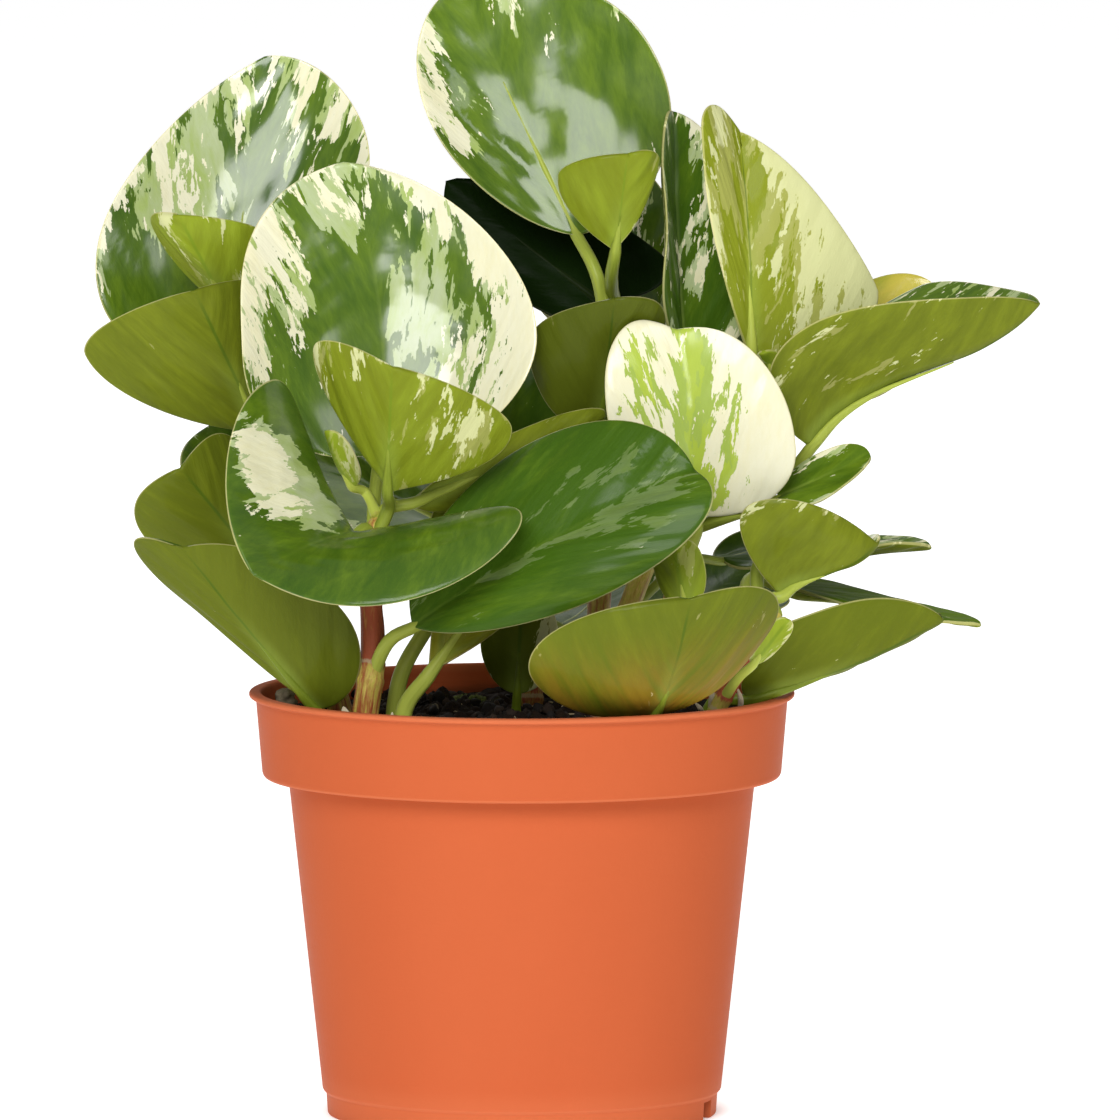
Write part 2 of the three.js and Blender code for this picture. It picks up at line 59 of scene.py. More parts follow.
# How far the veins run out for each step from the midrib, and how far apart the leaves' noise lies
VEIN_SLANT = 1.7
APART = 137.0
STALK_RINGS, STALK_SIDES = 46, 18
# What lies deep in the shade of the leaves
SHADED = (0.003, 0.010, 0.001)

# Stems: centre points from the buried end to the growing tip, the radius at both ends, the heights
# and strengths of the red blush, and the places of joints that carry no leaf
STEMS = {
    "front": dict(path=[(-34, -26, 63), (-34.2, -27, 90), (-32.5, -26.5, 104), (-33, -25, 118),
                        (-31.5, -23, 134)],
                  radius=(3.5, 2.1), joints=(0.55,),
                  blush=[(88, 0.6), (101, 0.42), (103.5, 0.8), (116, 0.75), (122, 0.4)]),
    "left": dict(path=[(-36, -8, 63), (-40, -6, 90), (-50, 1, 122), (-58, 7, 150), (-64, 9, 172)],
                 radius=(3.0, 1.9), blush=[(88, 0.5), (125, 0.3), (150, 0.1)], joints=(0.22,)),
    "top": dict(path=[(15, 15, 63), (16, 14, 92), (18, 13, 132), (20, 11, 180)],
                radius=(3.0, 2.0), blush=[(88, 0.6), (130, 0.35), (165, 0.1)], joints=(0.3, 0.48)),
    "right": dict(path=[(17, -4, 63), (18, -3, 90), (27, -1, 121), (39, 2, 143), (50, 5, 164)],
                  radius=(2.8, 1.9), blush=[(88, 0.6), (120, 0.3), (150, 0.1)], joints=(0.22,)),
    "middle": dict(path=[(29, -22, 63), (30, -23, 90), (32, -21, 112), (37, -16, 128)],
                   radius=(2.7, 1.9), blush=[(88, 0.8), (112, 0.4)], joints=(0.4,)),
    "back": dict(path=[(0, 27, 63), (2, 30, 90), (-2, 37, 122), (-8, 43, 146)],
                 radius=(2.8, 1.9), blush=[(88, 0.6), (120, 0.3)], joints=(0.3,)),
    "low": dict(path=[(35, -21, 63), (42, -27, 90), (49, -28, 103), (56, -27, 114)],
                radius=(2.2, 1.5), blush=[(90, 0.1), (94, 0.2), (95.5, 1), (103, 0.9), (108, 0.3)],
                joints=(0.54,)),
}

# Leaves. A leaf grows from its stem, at a share of the stem's length, or from a root in the soil.
# base is where the blade meets its stalk, tip the far end of the midrib, left and right the widest
# points of both wings, seen from the glossy upper side with the tip away. bow, wave and sway curve
# the midrib, and bulge, warp, widest, taper and full shape the wings: one number for both, or one
# for the left and one for the right. notch cuts into the tip, stalk is the stalk's radius, a small
# leaf has fewer points, and tone is the leaf's material slot.
USUAL_LEAF = dict(tone="green", bow=-1, wave=0, sway=0, bulge=-2, warp=0, widest=0.5, taper=0.5,
                  full=2.2, notch=0, stalk=1.6, small=False)
WING_KEYS = ("bulge", "warp", "widest", "taper", "full")
LEAVES = {
    "left_back_big": dict(tone="cream", stem="left", at=0.93, base=(-65, 15, 172),
        tip=(-57, 30, 231), left=(-93, 12, 187), right=(-34, 16, 205), bow=-2, bulge=-3,
        widest=(0.5, 0.42), full=(2.1, 1.7)),
    "left_young": dict(tone="young", stem="left", at=0.98, base=(-64, 3, 178), tip=(-75, -6, 199),
        left=(-55, 0, 193), right=(-81, 1, 196), bulge=-1, widest=(0.7, 0.75), taper=0.7, full=2),
    "left_side": dict(stem="left", at=0.66, base=(-58, 1, 151), tip=(-72, -15, 183),
        left=(-49, 6, 177), right=(-95.5, -10, 169), bow=-2, widest=0.6, taper=(0.6, 0.75),
        full=(2.2, 1.6)),
    "left_low": dict(stem="left", at=0.4, base=(-55, -4, 118), tip=(-75, -15, 144),
        left=(-61, -3, 146), right=(-83.5, -9, 129), widest=0.6, taper=0.6, full=(2.4, 2)),
    "left_rim": dict(root=(-41, -17, 74), base=(-44.5, -24, 92), tip=(-73.6, -36, 129),
        left=(-39, -31, 114), right=(-81, -28, 124.5), bow=-0.5, widest=(0.5, 0.75),
        taper=(0.6, 1.4), full=2.4, notch=0.03, bulge=(-2, -1)),
    "front_back_big": dict(tone="cream", stem="front", at=0.75, base=(-31, -13, 147),
        tip=(-39, 0, 210), left=(-61, -20, 170), right=(2.5, -14, 174), bow=-2, sway=4, bulge=-3,
        widest=0.45),
    "front_young": dict(tone="young", stem="front", at=0.93, base=(-29, -29, 140),
        tip=(-28, -43, 169), left=(-2, -35, 154), right=(-45, -35, 171.5), widest=0.72,
        taper=(1.4, 1.5), full=2, notch=0.03),
    "front_folded": dict(stem="front", at=0.77, base=(-36, -31, 131.5), tip=(-57.5, -69, 126),
        left=(-3, -48, 130.5), right=(-55, -36, 165), bow=2, bulge=(-2, -3), warp=(-35, 0),
        widest=(0.5, 0.35), taper=(0.5, 0.2)),
    "front_bud": dict(tone="young", stem="front", at=1, base=(-36, -20, 141), tip=(-42, -26, 153.5),
        left=(-36, -26, 148), right=(-40.5, -20, 147), bulge=0, widest=0.6, taper=0.8, small=True),
    "front_inner": dict(stem="front", at=0.85, base=(-25, -21, 137), tip=(18, -9, 155),
        left=(-3, -11, 138), right=(-1.5, -14, 151.5), bulge=-1, taper=0.7),
    "front_dark": dict(stem="front", at=0.5, base=(-24, -32, 111), tip=(37.5, -38, 146),
        left=(-1, -22, 149), right=(22, -46, 121), bow=3, bulge=2, full=(1.9, 2.2)),
    "centre_low_back": dict(root=(-29, -14, 76), base=(-21, -13, 108), tip=(-2, -4, 142),
        left=(2, -8, 124), right=(-18, -6, 136), bow=0, bulge=-1, widest=0.6, taper=1.2, stalk=1.9),
    "centre_low_front": dict(root=(-26, -21, 76), base=(-21, -22, 98), tip=(4, -19, 133),
        left=(5, -21, 119), right=(-13, -19, 131), bow=0, bulge=-1, widest=0.7, taper=1.3, stalk=2),
    "top_big": dict(stem="top", at=0.85, base=(12, 12, 193), tip=(-14, 24, 247),
        left=(-19.5, 14, 217), right=(30, 17, 231), bow=-2, bulge=-3, widest=0.55,
        taper=(0.8, 0.55), full=(2, 2.3)),
    "top_young": dict(tone="young", stem="top", at=0.99, base=(20.5, 0, 190), tip=(23.5, -7, 212.5),
        left=(30, -3, 210), right=(8, -2, 207), widest=0.8, taper=1.4, notch=0.03),
    "top_dark": dict(stem="top", at=0.85, base=(17, 20, 178), tip=(-17, 38, 203),
        left=(-4, 24, 180), right=(30, 24, 188), widest=(0.5, 0.3), full=(2.2, 2.6)),
    "top_folded": dict(tone="cream", stem="top", at=0.8, base=(36, 10, 167), tip=(33.7, 14, 220),
        left=(30.8, 0, 198), right=(52, 16, 185), bulge=(0, -1), widest=(0.5, 0.4),
        taper=(0.5, 0.4), full=2),
    "top_front": dict(stem="top", at=0.7, base=(17, 1, 151), tip=(20.3, -9, 181),
        left=(31, -3, 174), right=(2, -4, 170), widest=0.65, taper=0.6),
    "right_upright": dict(tone="cream", stem="right", at=0.93, base=(50, 1, 167),
        tip=(47.3, 8, 216), left=(78, 4, 181), right=(39, -2, 217), bow=-2, bulge=(-2, 0),
        widest=(0.38, 0.82), taper=(0.6, 0.8), full=(1.25, 2.2), notch=0.04),
    "right_long": dict(stem="right", at=0.8, base=(62.5, -1, 148), tip=(113, -9, 180),
        left=(88, 13, 182), right=(64.5, -14, 176), bow=0.5, bulge=0, widest=(0.5, 0.45),
        full=(1.35, 1.7), wave=2.4),
    "right_yellow": dict(tone="young", stem="right", at=0.97, base=(61, 17, 164), tip=(93, 23, 178),
        left=(76, 25, 181.5), right=(81, 20, 170), bow=0, bulge=0, widest=0.6, small=True),
    "right_bud": dict(tone="young", stem="right", at=1, base=(55, -2, 165), tip=(53, -5, 169),
        left=(57, -2, 167.5), right=(52, -1, 166.5), bow=0, bulge=0, small=True),
    "middle_cream": dict(tone="cream", stem="middle", at=0.97, base=(38, -13, 133),
        tip=(34, -10, 174), left=(18.5, -17, 157), right=(60, -17, 149), bow=2, bulge=1,
        widest=(0.5, 0.45), full=(2.6, 2.4), notch=0.05),
    "middle_dark": dict(stem="right", at=0.6, base=(56, -11, 137.5), tip=(76.5, -8, 146),
        left=(65, -5, 146.5), right=(65, -15, 137), bow=0, bulge=0),
    "middle_young": dict(tone="young", stem="middle", at=0.66, base=(36, -30, 114),
        tip=(33, -33, 130), left=(40, -30, 124), right=(29, -29, 123), bow=0, bulge=0, small=True),
    "low_arched": dict(stem="low", at=0.97, base=(56, -24, 117), tip=(77, -20, 128),
        left=(70, -13, 128), right=(51, -26, 137.5), bow=-1.2, wave=1.4, bulge=(-1, -2),
        widest=(0.5, 0.45), taper=(0.5, 0.4)),
    "low_behind": dict(stem="low", at=0.88, base=(62, -8, 124), tip=(90, 0, 125.6),
        left=(74, 9, 127), right=(74, -12, 127), bow=0, bulge=0, full=2),
    "low_front": dict(root=(28, -33, 74), base=(28.5, -42, 93), tip=(36.5, -64, 120.5),
        left=(55, -52, 116), right=(2, -58, 107), bow=-3, widest=0.62, taper=0.6, notch=0.03),
    "low_side": dict(root=(40, -11, 76), base=(49, -16, 94), tip=(92, -18, 111.5),
        left=(72, -8, 103), right=(60, -24, 112), bow=-2, bulge=-1, widest=(0.5, 0.45),
        taper=(0.7, 0.6)),
    "low_dark": dict(stem="low", at=0.8, base=(60, -6, 117), tip=(101, -4, 108.7),
        left=(72, 10, 116.5), right=(76, -12, 113.5), bow=0, bulge=0, widest=(0.4, 0.5), full=2),
    "low_young": dict(tone="young", stem="low", at=0.6, base=(50, -33, 103), tip=(58, -35, 113),
        left=(57, -33, 107), right=(52, -35, 110), bow=0, bulge=0, small=True),
    "soil_dark": dict(root=(-1, 6, 76), base=(-1, 8, 92), tip=(0, 4, 115), left=(8, 8, 103),
        right=(-9, 8, 104), bow=0, bulge=0, small=True),
    "back_left": dict(stem="left", at=0.8, base=(-65, 22, 158), tip=(-78, 60, 190),
        left=(-88, 42, 176), right=(-52, 46, 182), bow=-2),
    "back_top": dict(stem="top", at=0.6, base=(22, 34, 166), tip=(14, 64, 210), left=(-4, 50, 190),
        right=(36, 50, 187), bow=-2),
    "back_right": dict(stem="right", at=0.88, base=(54, 18, 160), tip=(60, 56, 192),
        left=(40, 38, 175), right=(73, 38, 177), bow=-2),
    "back_upper": dict(stem="back", at=0.97, base=(-12, 48, 152), tip=(-30, 76, 194),
        left=(-46, 60, 170), right=(-4, 66, 180), bow=-2),
    "back_centre": dict(stem="back", at=0.85, base=(0, 46, 140), tip=(26, 64, 164),
        left=(-4, 52, 158), right=(26, 58, 144), bow=-2),
    "back_lower": dict(stem="back", at=0.7, base=(-14, 46, 124), tip=(-54, 66, 138),
        left=(-36, 66, 118), right=(-32, 54, 146), bow=-2),
    "back_rim": dict(stem="back", at=0.5, base=(8, 42, 104), tip=(22, 80, 114), left=(-4, 64, 108),
        right=(31, 58, 112), bow=-2),
    "back_low": dict(stem="right", at=0.45, base=(44, 14, 122), tip=(66, 34, 128),
        left=(48, 28, 126), right=(62, 14, 124), bow=-1, small=True),
    "back_left_rim": dict(stem="left", at=0.3, base=(-52, 8, 106), tip=(-77, 32, 116),
        left=(-66, 36, 108), right=(-66, 12, 117), bow=-2, small=True),
    "back_left_low": dict(stem="left", at=0.5, base=(-55, 18, 131), tip=(-66, 48, 150),
        left=(-74, 32, 138), right=(-48, 38, 146), bow=-2, small=True),
    "back_right_low": dict(stem="right", at=0.35, base=(34, 20, 110), tip=(50, 54, 116),
        left=(28, 40, 116), right=(57, 32, 108), bow=-2, small=True),
    "back_right_side": dict(stem="right", at=0.7, base=(66, 27, 158), tip=(96, 50, 170),
        left=(76, 46, 169), right=(85, 34, 160), bow=-2, small=True),
}

# Markings of a blade: how much cream there is all over, or at the left margin, along the midrib and
# at the right margin; patches of cream and pale patches as (u, v, size, strength); how light its
# green is, which also stands for the light and shade falling on the leaf and below zero turns blade
# and stalk towards a painted deep shade; how red its stalk is; how clearly its midrib and its pale
# patches show; its gloss; and how much lighter its stalk is than its blade, a painted light on it
USUAL_LOOK = dict(cream=(0.3, 0.05, 0.3), patches=(), light=0.35, blush=0, line=0.3, pale=(),
                  soft=0.92, gloss=1, stalk=0)
LOOKS = {
    "left_back_big": dict(cream=(0.75, 0.35, 0.6), light=0.4, line=0.2,
        patches=((0.1, -0.6, 0.32, -1.4), (1, 0, 0.12, -0.5), (0.1, 0.2, 0.3, -0.4),
        (0.55, 0, 0.12, -0.25)), pale=((0.7, -0.45, 0.25, 0.5),)),
    "left_young": dict(cream=(0.45, 0.15, 0.4), light=0.45, patches=((0.85, 0.5, 0.25, 0.35),)),
    "left_side": dict(cream=(0, 0, 0.05), light=0.3),
    "left_low": dict(cream=(0, 0, 0.05), light=0.1),
    "left_rim": dict(cream=0, light=-0.04),
    "front_back_big": dict(cream=(0.8, 0.4, 0.85), light=0.45, line=0.2,
        patches=((0.25, -0.15, 0.2, -0.7), (0.55, -0.15, 0.2, -0.6), (0.12, -0.75, 0.22, -0.7),
        (0.75, 0.35, 0.15, -0.3), (0.5, 0.2, 0.2, -0.4)), pale=((0.5, 0.2, 0.2, 0.9),
        (0.9, -0.25, 0.15, 0.5))),
    "front_young": dict(cream=(0.4, 0.15, 0.4), light=0.22, patches=((0.7, -0.5, 0.25, 0.35),
        (0.85, 0.6, 0.25, 0.35))),
    "front_folded": dict(cream=(0.05, 0, 0.2), light=0.3, line=0.15,
        pale=((0.28, 0.38, 0.22, 0.9),), patches=((0.55, 0.5, 0.24, 1.05), (0.3, 0.95, 0.2, -0.5))),
    "front_bud": dict(cream=(0.6, 0.3, 0.6), light=0.9),
    "front_inner": dict(cream=(0.1, 0, 0.1), light=0.4, gloss=0.3),
    "front_dark": dict(cream=0, light=0.16, line=0.1, soft=0.17, gloss=0.18, stalk=0.5,
        pale=((0.6, 0, 0.6, 0.42),)),
    "centre_low_back": dict(cream=0, light=0.45, stalk=0.2),
    "centre_low_front": dict(cream=0, light=0.8, blush=0.4),
    "top_big": dict(cream=(0.42, 0, 0.38), light=0.5, line=0.35, gloss=0.8,
        patches=((0.62, -0.9, 0.28, 0.4), (0.9, 0.35, 0.2, 0.5), (0.15, -0.8, 0.25, -0.8),
        (0.35, 0.5, 0.4, -0.4))),
    "top_young": dict(cream=(0.1, 0, 0.1), light=0.28),
    # Painted deep shade: this leaf turns nearly black all over
    "top_dark": dict(cream=-0.3, light=-0.45, line=0, gloss=0),
    "top_folded": dict(cream=(0.35, 0.25, 0.75), light=0.25, gloss=0.6,
        patches=((0.6, 0.5, 0.35, 0.25), (0.12, 0.4, 0.25, -0.5))),
    # Painted shade: this leaf is darkened about a third of the way towards near black
    "top_front": dict(cream=0, light=-0.18),
    "right_upright": dict(cream=(0.95, 0.3, 0.52), light=1.45, patches=((0.5, -0.7, 0.35, 0.1),),
        pale=((0.6, 0.3, 0.4, 0.3),)),
    "right_long": dict(cream=(0.5, 0.05, 0.3), light=0.45, patches=((0.65, 0.45, 0.2, 0.3),)),
    "right_yellow": dict(cream=(0.1, 0.05, 0.1), light=0.7),
    "right_bud": dict(cream=0.5, light=0.9),
    "middle_cream": dict(cream=(1.05, 0.52, 1.1), light=1.35, line=0.1, gloss=0.6,
        patches=((0.78, 0.12, 0.14, -0.4), (0.12, 0.25, 0.12, -0.3)), pale=((0.7, 0.1, 0.3, 0.3),)),
    "middle_dark": dict(cream=(0.5, 0.3, 0.5), light=0.5, gloss=0.2),
    "middle_young": dict(cream=(0.3, 0.1, 0.3), light=0.7),
    "low_arched": dict(cream=(0.6, 0.15, 0.4), light=0.5),
    "low_behind": dict(cream=(0.5, 0.3, 0.5), light=0.4, gloss=0.1),
    "low_front": dict(cream=0, light=0.05, blush=1),
    "low_side": dict(cream=0, light=0, gloss=0.5),
    "low_dark": dict(cream=(0, 0, 0.05), light=0.6, gloss=0),
    "low_young": dict(cream=(0.6, 0.4, 0.6), light=0.9),
    "soil_dark": dict(cream=(0.9, 0, 0.1), light=-0.1, gloss=0.4),
    "back_left": dict(cream=(0.55, 0.2, 0.4)),
    "back_top": dict(cream=(0.6, 0.2, 0.5)),
    "back_right": dict(cream=(0.4, 0.1, 0.55)),
    "back_upper": dict(cream=(0.6, 0.25, 0.45)),
    "back_centre": dict(cream=(0.2, 0, 0.3), light=0.2, gloss=0.4),
    "back_lower": dict(cream=(0.4, 0.15, 0.3)),
    "back_rim": dict(cream=(0.2, 0, 0.2), gloss=0.1),
    "back_low": dict(gloss=0.15),
    "back_right_low": dict(gloss=0.1),
}


# Sizes and colours that a user may change
def colour(name, description, red, green, blue):
    return FloatVectorProperty(name=name, description=description, subtype="COLOR", size=3,
                               min=0, max=1, default=(red, green, blue))


def number(name, description, value, **kind):
    return FloatProperty(name=name, description=description, min=0, default=value, **kind)


def length(name, description, value):
    return number(name, description, value, subtype="DISTANCE", unit="LENGTH")


def power(name, description, value):
    return number(name, description, value, subtype="POWER", unit="POWER")


class PotSettings(bpy.types.PropertyGroup):
    height: length("Height", "From the standing surface to the top of the lip", 0.0934)
    lip: length("Lip radius", "Outer radius of the lip", 0.060)
    wall: length("Wall", "Thickness of the moulded wall", 0.0012)
    plastic: colour("Plastic", "Terracotta-coloured plastic", 0.485, 0.107, 0.039)
    # Also the colour of the painted highlight on the lip and of the painted highlight lines on the
    # edges of foot and collar
    wear_and_highlight: colour("Worn plastic", "Paler plastic where the pot is rubbed", 0.62, 0.19, 0.085)


class LeafSettings(bpy.types.PropertyGroup):
    blade: length("Blade", "Thickness of a blade at its midrib", 0.00125)
    margin: length("Margin", "Thickness of a blade at its margin", 0.00075)
    ripple: length("Ripple", "Height of the soft swellings between the veins", 0.00016)
    deep: colour("Deep green", "Dark parts of a grown blade", 0.040, 0.092, 0.005)
    fresh: colour("Fresh green", "Light parts of a grown blade", 0.130, 0.210, 0.011)
    pale: colour("Pale green", "Half-coloured patches and veins", 0.30, 0.40, 0.07)
    sage: colour("Sage", "Greyish half-coloured patches", 0.43, 0.49, 0.29)
    cream: colour("Cream", "Patches without green", 0.71, 0.69, 0.50)
    butter: colour("Butter", "Yellower cream of margins and undersides", 0.66, 0.60, 0.27)
    young: colour("Young green", "Blades that have just opened", 0.26, 0.34, 0.022)
    olive: colour("Olive", "Matte underside of a blade", 0.100, 0.124, 0.007)


class StemSettings(bpy.types.PropertyGroup):
    swelling: length("Swelling", "How far the joints stand out from a stem", 0.00035)
    green: colour("Stem green", "Skin of a stem", 0.42, 0.42, 0.05)
    red: colour("Stem red", "Blush and streaks of a stem", 0.29, 0.065, 0.025)
    bark: colour("Dry skin", "Dried rings of the stems and loose fibres", 0.42, 0.33, 0.20)


class SoilSettings(bpy.types.PropertyGroup):
    level: length("Level", "Mean height of the soil", 0.087)
    crumbs: IntProperty(name="Crumbs", description="Loose crumbs on the soil", default=420, min=0)
    fibres: IntProperty(name="Fibres", description="Loose fibres on the soil", default=110, min=0)
    peat: colour("Peat", "Dark potting mix", 0.008, 0.0045, 0.003)
    dust: colour("Dry peat", "Dry crumbs and fibres", 0.045, 0.024, 0.013)
    moss: colour("Moss", "Moss on the soil", 0.075, 0.085, 0.015)


class StageSettings(bpy.types.PropertyGroup):
    floor: colour("Floor", "Pale studio floor", 0.93, 0.93, 0.93)
    glow: number("Floor glow", "Light that the lit floor gives off by itself", 0.72)
    key: power("Key light", "Power of the large soft light", 30)
    fill: power("Fill light", "Power of the soft light at the right", 5)
    back: power("Back light", "Power of the soft light behind the plant", 8)
    air: number("Room light", "Strength of the even light all round", 0.28)


class PlantSettings(bpy.types.PropertyGroup):
    pot: PointerProperty(type=PotSettings)
    leaves: PointerProperty(type=LeafSettings)
    stems: PointerProperty(type=StemSettings)
    soil: PointerProperty(type=SoilSettings)
    stage: PointerProperty(type=StageSettings)


# Shader maths: expressions on values add their nodes
class Shade:
    """A number of a material. Arithmetic on it adds Math nodes."""

    def __init__(self, finish, socket):
        self.finish, self.socket = finish, socket

    def sum_up(self, operation, *values):
        node = self.finish.node("ShaderNodeMath", {"operation": operation}, dict(enumerate(values)))
        return Shade(self.finish, node.outputs[0])

    def __add__(self, other): return self.sum_up("ADD", self, other)
    def __radd__(self, other): return self.sum_up("ADD", other, self)
    def __sub__(self, other): return self.sum_up("SUBTRACT", self, other)
    def __rsub__(self, other): return self.sum_up("SUBTRACT", other, self)
    def __mul__(self, other): return self.sum_up("MULTIPLY", self, other)
    def __rmul__(self, other): return self.sum_up("MULTIPLY", other, self)
    def __pow__(self, other): return self.sum_up("POWER", self, other)

    def step(self, low, high):
        """Goes smoothly from 0 at low to 1 at high."""
        node = self.finish.node("ShaderNodeMapRange", {"interpolation_type": "SMOOTHSTEP"},
                                {"Value": self, "From Min": low, "From Max": high})
        return Shade(self.finish, node.outputs["Result"])


class Finish:
    """A material and the nodes that make it."""

    def __init__(self, name, **constants):
        self.material = bpy.data.materials.new(name)
        self.material.use_nodes = True
        self.tree = self.material.node_tree
        self.shader = next(n for n in self.tree.nodes if n.type == "BSDF_PRINCIPLED")
        self.give(self.shader, constants)

    def give(self, node, inputs):
        for key, value in inputs.items():
            if isinstance(key, str):
                key = key.replace("_", " ").title().replace("Ior", "IOR")
            if isinstance(value, Shade):
                self.tree.links.new(value.socket, node.inputs[key])
            elif isinstance(value, bpy.types.NodeSocket):
                self.tree.links.new(value, node.inputs[key])
            else:
                node.inputs[key].default_value = value

    def node(self, kind, settings, inputs):
        """Adds a node, sets its settings and then its inputs."""
        node = self.tree.nodes.new(kind)
        for key, value in settings.items():
            setattr(node, key, value)
        self.give(node, inputs)
        return node

    def measure(self, name):
        """A value that the mesh carries at each point."""
        node = self.node("ShaderNodeAttribute", {"attribute_name": name}, {})
        return Shade(self, node.outputs["Fac"])

    def place(self, name=None):
        """The three coordinates of a vector that the mesh carries, or of the point itself."""
        if name:
            source = self.node("ShaderNodeAttribute", {"attribute_name": name}, {})
        else:
            source = self.node("ShaderNodeTexCoord", {}, {})
        vector = source.outputs["Vector" if name else "Object"]
        node = self.node("ShaderNodeSeparateXYZ", {}, {0: vector})
        return [Shade(self, out) for out in node.outputs]

    def at(self, x, y, z=0.0):
        return self.node("ShaderNodeCombineXYZ", {}, {0: x, 1: y, 2: z}).outputs[0]

    def noise(self, at, detail, roughness, distortion=0.0):
        """Cloudy noise from about -1 to 1."""
        node = self.node("ShaderNodeTexNoise", {"noise_dimensions": "3D"},
                         {"Vector": at, "Scale": 1.0, "Detail": detail, "Roughness": roughness,
                          "Distortion": distortion})
        return (Shade(self, node.outputs["Fac"]) - 0.5) * 4.0

    def mix(self, share, first, second):
        """A colour between two others."""
        node = self.node("ShaderNodeMix", {"data_type": "RGBA"}, {0: share})
        for slot, tint in ((6, first), (7, second)):
            if isinstance(tint, bpy.types.NodeSocket):
                self.tree.links.new(tint, node.inputs[slot])
            else:
                node.inputs[slot].default_value = (*tint, 1)
        return node.outputs[2]

    def bump(self, height, strength, distance, below=None):
        inputs = {"Height": height, "Strength": strength, "Distance": distance}
        if below is not None:
            inputs["Normal"] = below
        return self.node("ShaderNodeBump", {}, inputs).outputs["Normal"]

    def dress(self, **inputs):
        self.give(self.shader, inputs)
        return self.material


# Numbers and vectors
def unit(vectors):
    return vectors / np.maximum(np.linalg.norm(vectors, axis=-1, keepdims=True), 1e-12)


def bell(distance, width):
    return np.exp(-((distance / width) ** 2))


def waves(x, y, size, seed, count=20):
    """Cloudy relief from about -1 to 1: a sum of cosine waves of like length, each with a random
    direction and phase."""
    random = np.random.default_rng(seed)
    turn, phase = random.uniform(0, 2 * math.pi, (2, count))
    pitch = 2 * math.pi / (size * random.uniform(0.7, 1.6, count))
    angle = (x[..., None] * np.cos(turn) + y[..., None] * np.sin(turn)) * pitch + phase
    return np.cos(angle).sum(-1) * math.sqrt(2 / count)


def distance_along(path):
    return np.concatenate([[0], np.cumsum(np.linalg.norm(np.diff(path, axis=0), axis=1))])


def smooth_path(points, steps):
    """Points evenly spaced along a centripetal Catmull-Rom curve through the given ones: on each
    span a cubic that leaves and arrives with the slopes of the neighbouring spans."""
    points = np.asarray(points, float)
    ends = np.concatenate([2 * points[:1] - points[1:2], points, 2 * points[-1:] - points[-2:-1]])
    gap = np.sqrt(np.linalg.norm(np.diff(ends, axis=0), axis=1))
    t = np.linspace(0, len(points) - 1, CURVE_STEPS)
    span = np.minimum(t.astype(int), len(points) - 2)
    w = (t - span)[:, None]
    a, b, c, d = (ends[span + k] for k in range(4))
    before, here, after = (gap[span + k][:, None] for k in range(3))
    leave = ((b - a) / before - (c - a) / (before + here) + (c - b) / here) * here
    arrive = ((c - b) / here - (d - b) / (here + after) + (d - c) / after) * here
    curve = (b + leave * w + (3 * (c - b) - 2 * leave - arrive) * w**2
             + (2 * (b - c) + leave + arrive) * w**3)
    run = distance_along(curve)
    even = np.linspace(0, run[-1], steps)
    return np.stack([np.interp(even, run, curve[:, k]) for k in range(3)], -1), even


# Skins: a closed surface with its values at each point
def grid_faces(rows, columns, closed=False):
    """Four-sided faces of a grid whose rows are rings. In a closed grid the last ring joins the
    first."""
    corner = np.arange(rows * columns).reshape(rows, columns)
    beside = np.roll(corner, -1, axis=1)
    faces = np.stack([corner, beside, np.roll(beside, -1, axis=0), np.roll(corner, -1, axis=0)], -1)
    return (faces if closed else faces[:-1]).reshape(-1, 4)


def facing_out(points, quads, caps):
    """The faces, turned round if the volume that they enclose is negative."""
    sides, corners = points[quads], points[caps]
    volume = sum(np.einsum("ij,ij->", face[:, 0], np.cross(face[:, k], face[:, k + 1]))
                 for face, k in ((corners, 1), (sides, 1), (sides, 2)))
    return (quads[:, ::-1], caps[:, ::-1]) if volume < 0 else (quads, caps)


def closed_skin(grid, first, last, values, material=0):
    """A surface of rings, closed by one point at each end. values are arrays over the grid."""
    rows, columns = grid.shape[:2]
    points = np.concatenate([grid.reshape(-1, 3), [first, last]])
    ring = np.arange(columns)
    after = (ring + 1) % columns
    end, foot = (rows - 1) * columns, rows * columns
    caps = np.concatenate([np.stack([np.full(columns, foot), after, ring], -1),
                           np.stack([np.full(columns, foot + 1), end + ring, end + after], -1)])
    carried = {}
    for name, value in values.items():
        flat = value.reshape(rows * columns, *value.shape[2:])
        carried[name] = np.concatenate([flat, [value[0].mean(0), value[-1].mean(0)]])
    quads, caps = facing_out(points, grid_faces(rows, columns), caps)
    return dict(points=points, quads=quads, caps=caps, values=carried, material=material)


def ring_of_rings(grid):
    """A surface whose rows and columns both close on themselves."""
    points, no_caps = grid.reshape(-1, 3), np.zeros((0, 3), int)
    quads, caps = facing_out(points, grid_faces(*grid.shape[:2], closed=True), no_caps)
    return dict(points=points, quads=quads, caps=caps, values={}, material=0)


def tube_skin(path, radius, sides, values, up=None, groove=0.0, material=0, flat=1.0):
    """A tube: rings around the points of a path, each in the plane across it. radius is given along
    the path or over the whole grid. A groove runs along the side that faces up."""
    slope = unit(np.gradient(path, axis=0))
    if up is None:
        up = np.linalg.svd(slope)[2][-1]
    side = unit(np.cross(slope, up))
    over = np.cross(side, slope)
    angle = np.linspace(0, 2 * math.pi, sides, endpoint=False)
    turn = np.abs((angle - math.pi / 2 + math.pi) % (2 * math.pi) - math.pi)
    radius = np.asarray(radius)
    radius = radius[:, None] if radius.ndim == 1 else radius
    radius = radius * (1 - groove * bell(turn, 0.55))
    ring = side[:, None] * (np.cos(angle) * radius)[..., None]
    ring = ring + over[:, None] * (np.sin(angle) * radius * flat)[..., None]
    run = np.broadcast_to(distance_along(path)[:, None], radius.shape)
    flow = np.stack([np.cos(angle) * radius, np.sin(angle) * radius, run], -1)
    return closed_skin(path[:, None] + ring, path[0], path[-1], {"flow": flow, **values}, material)


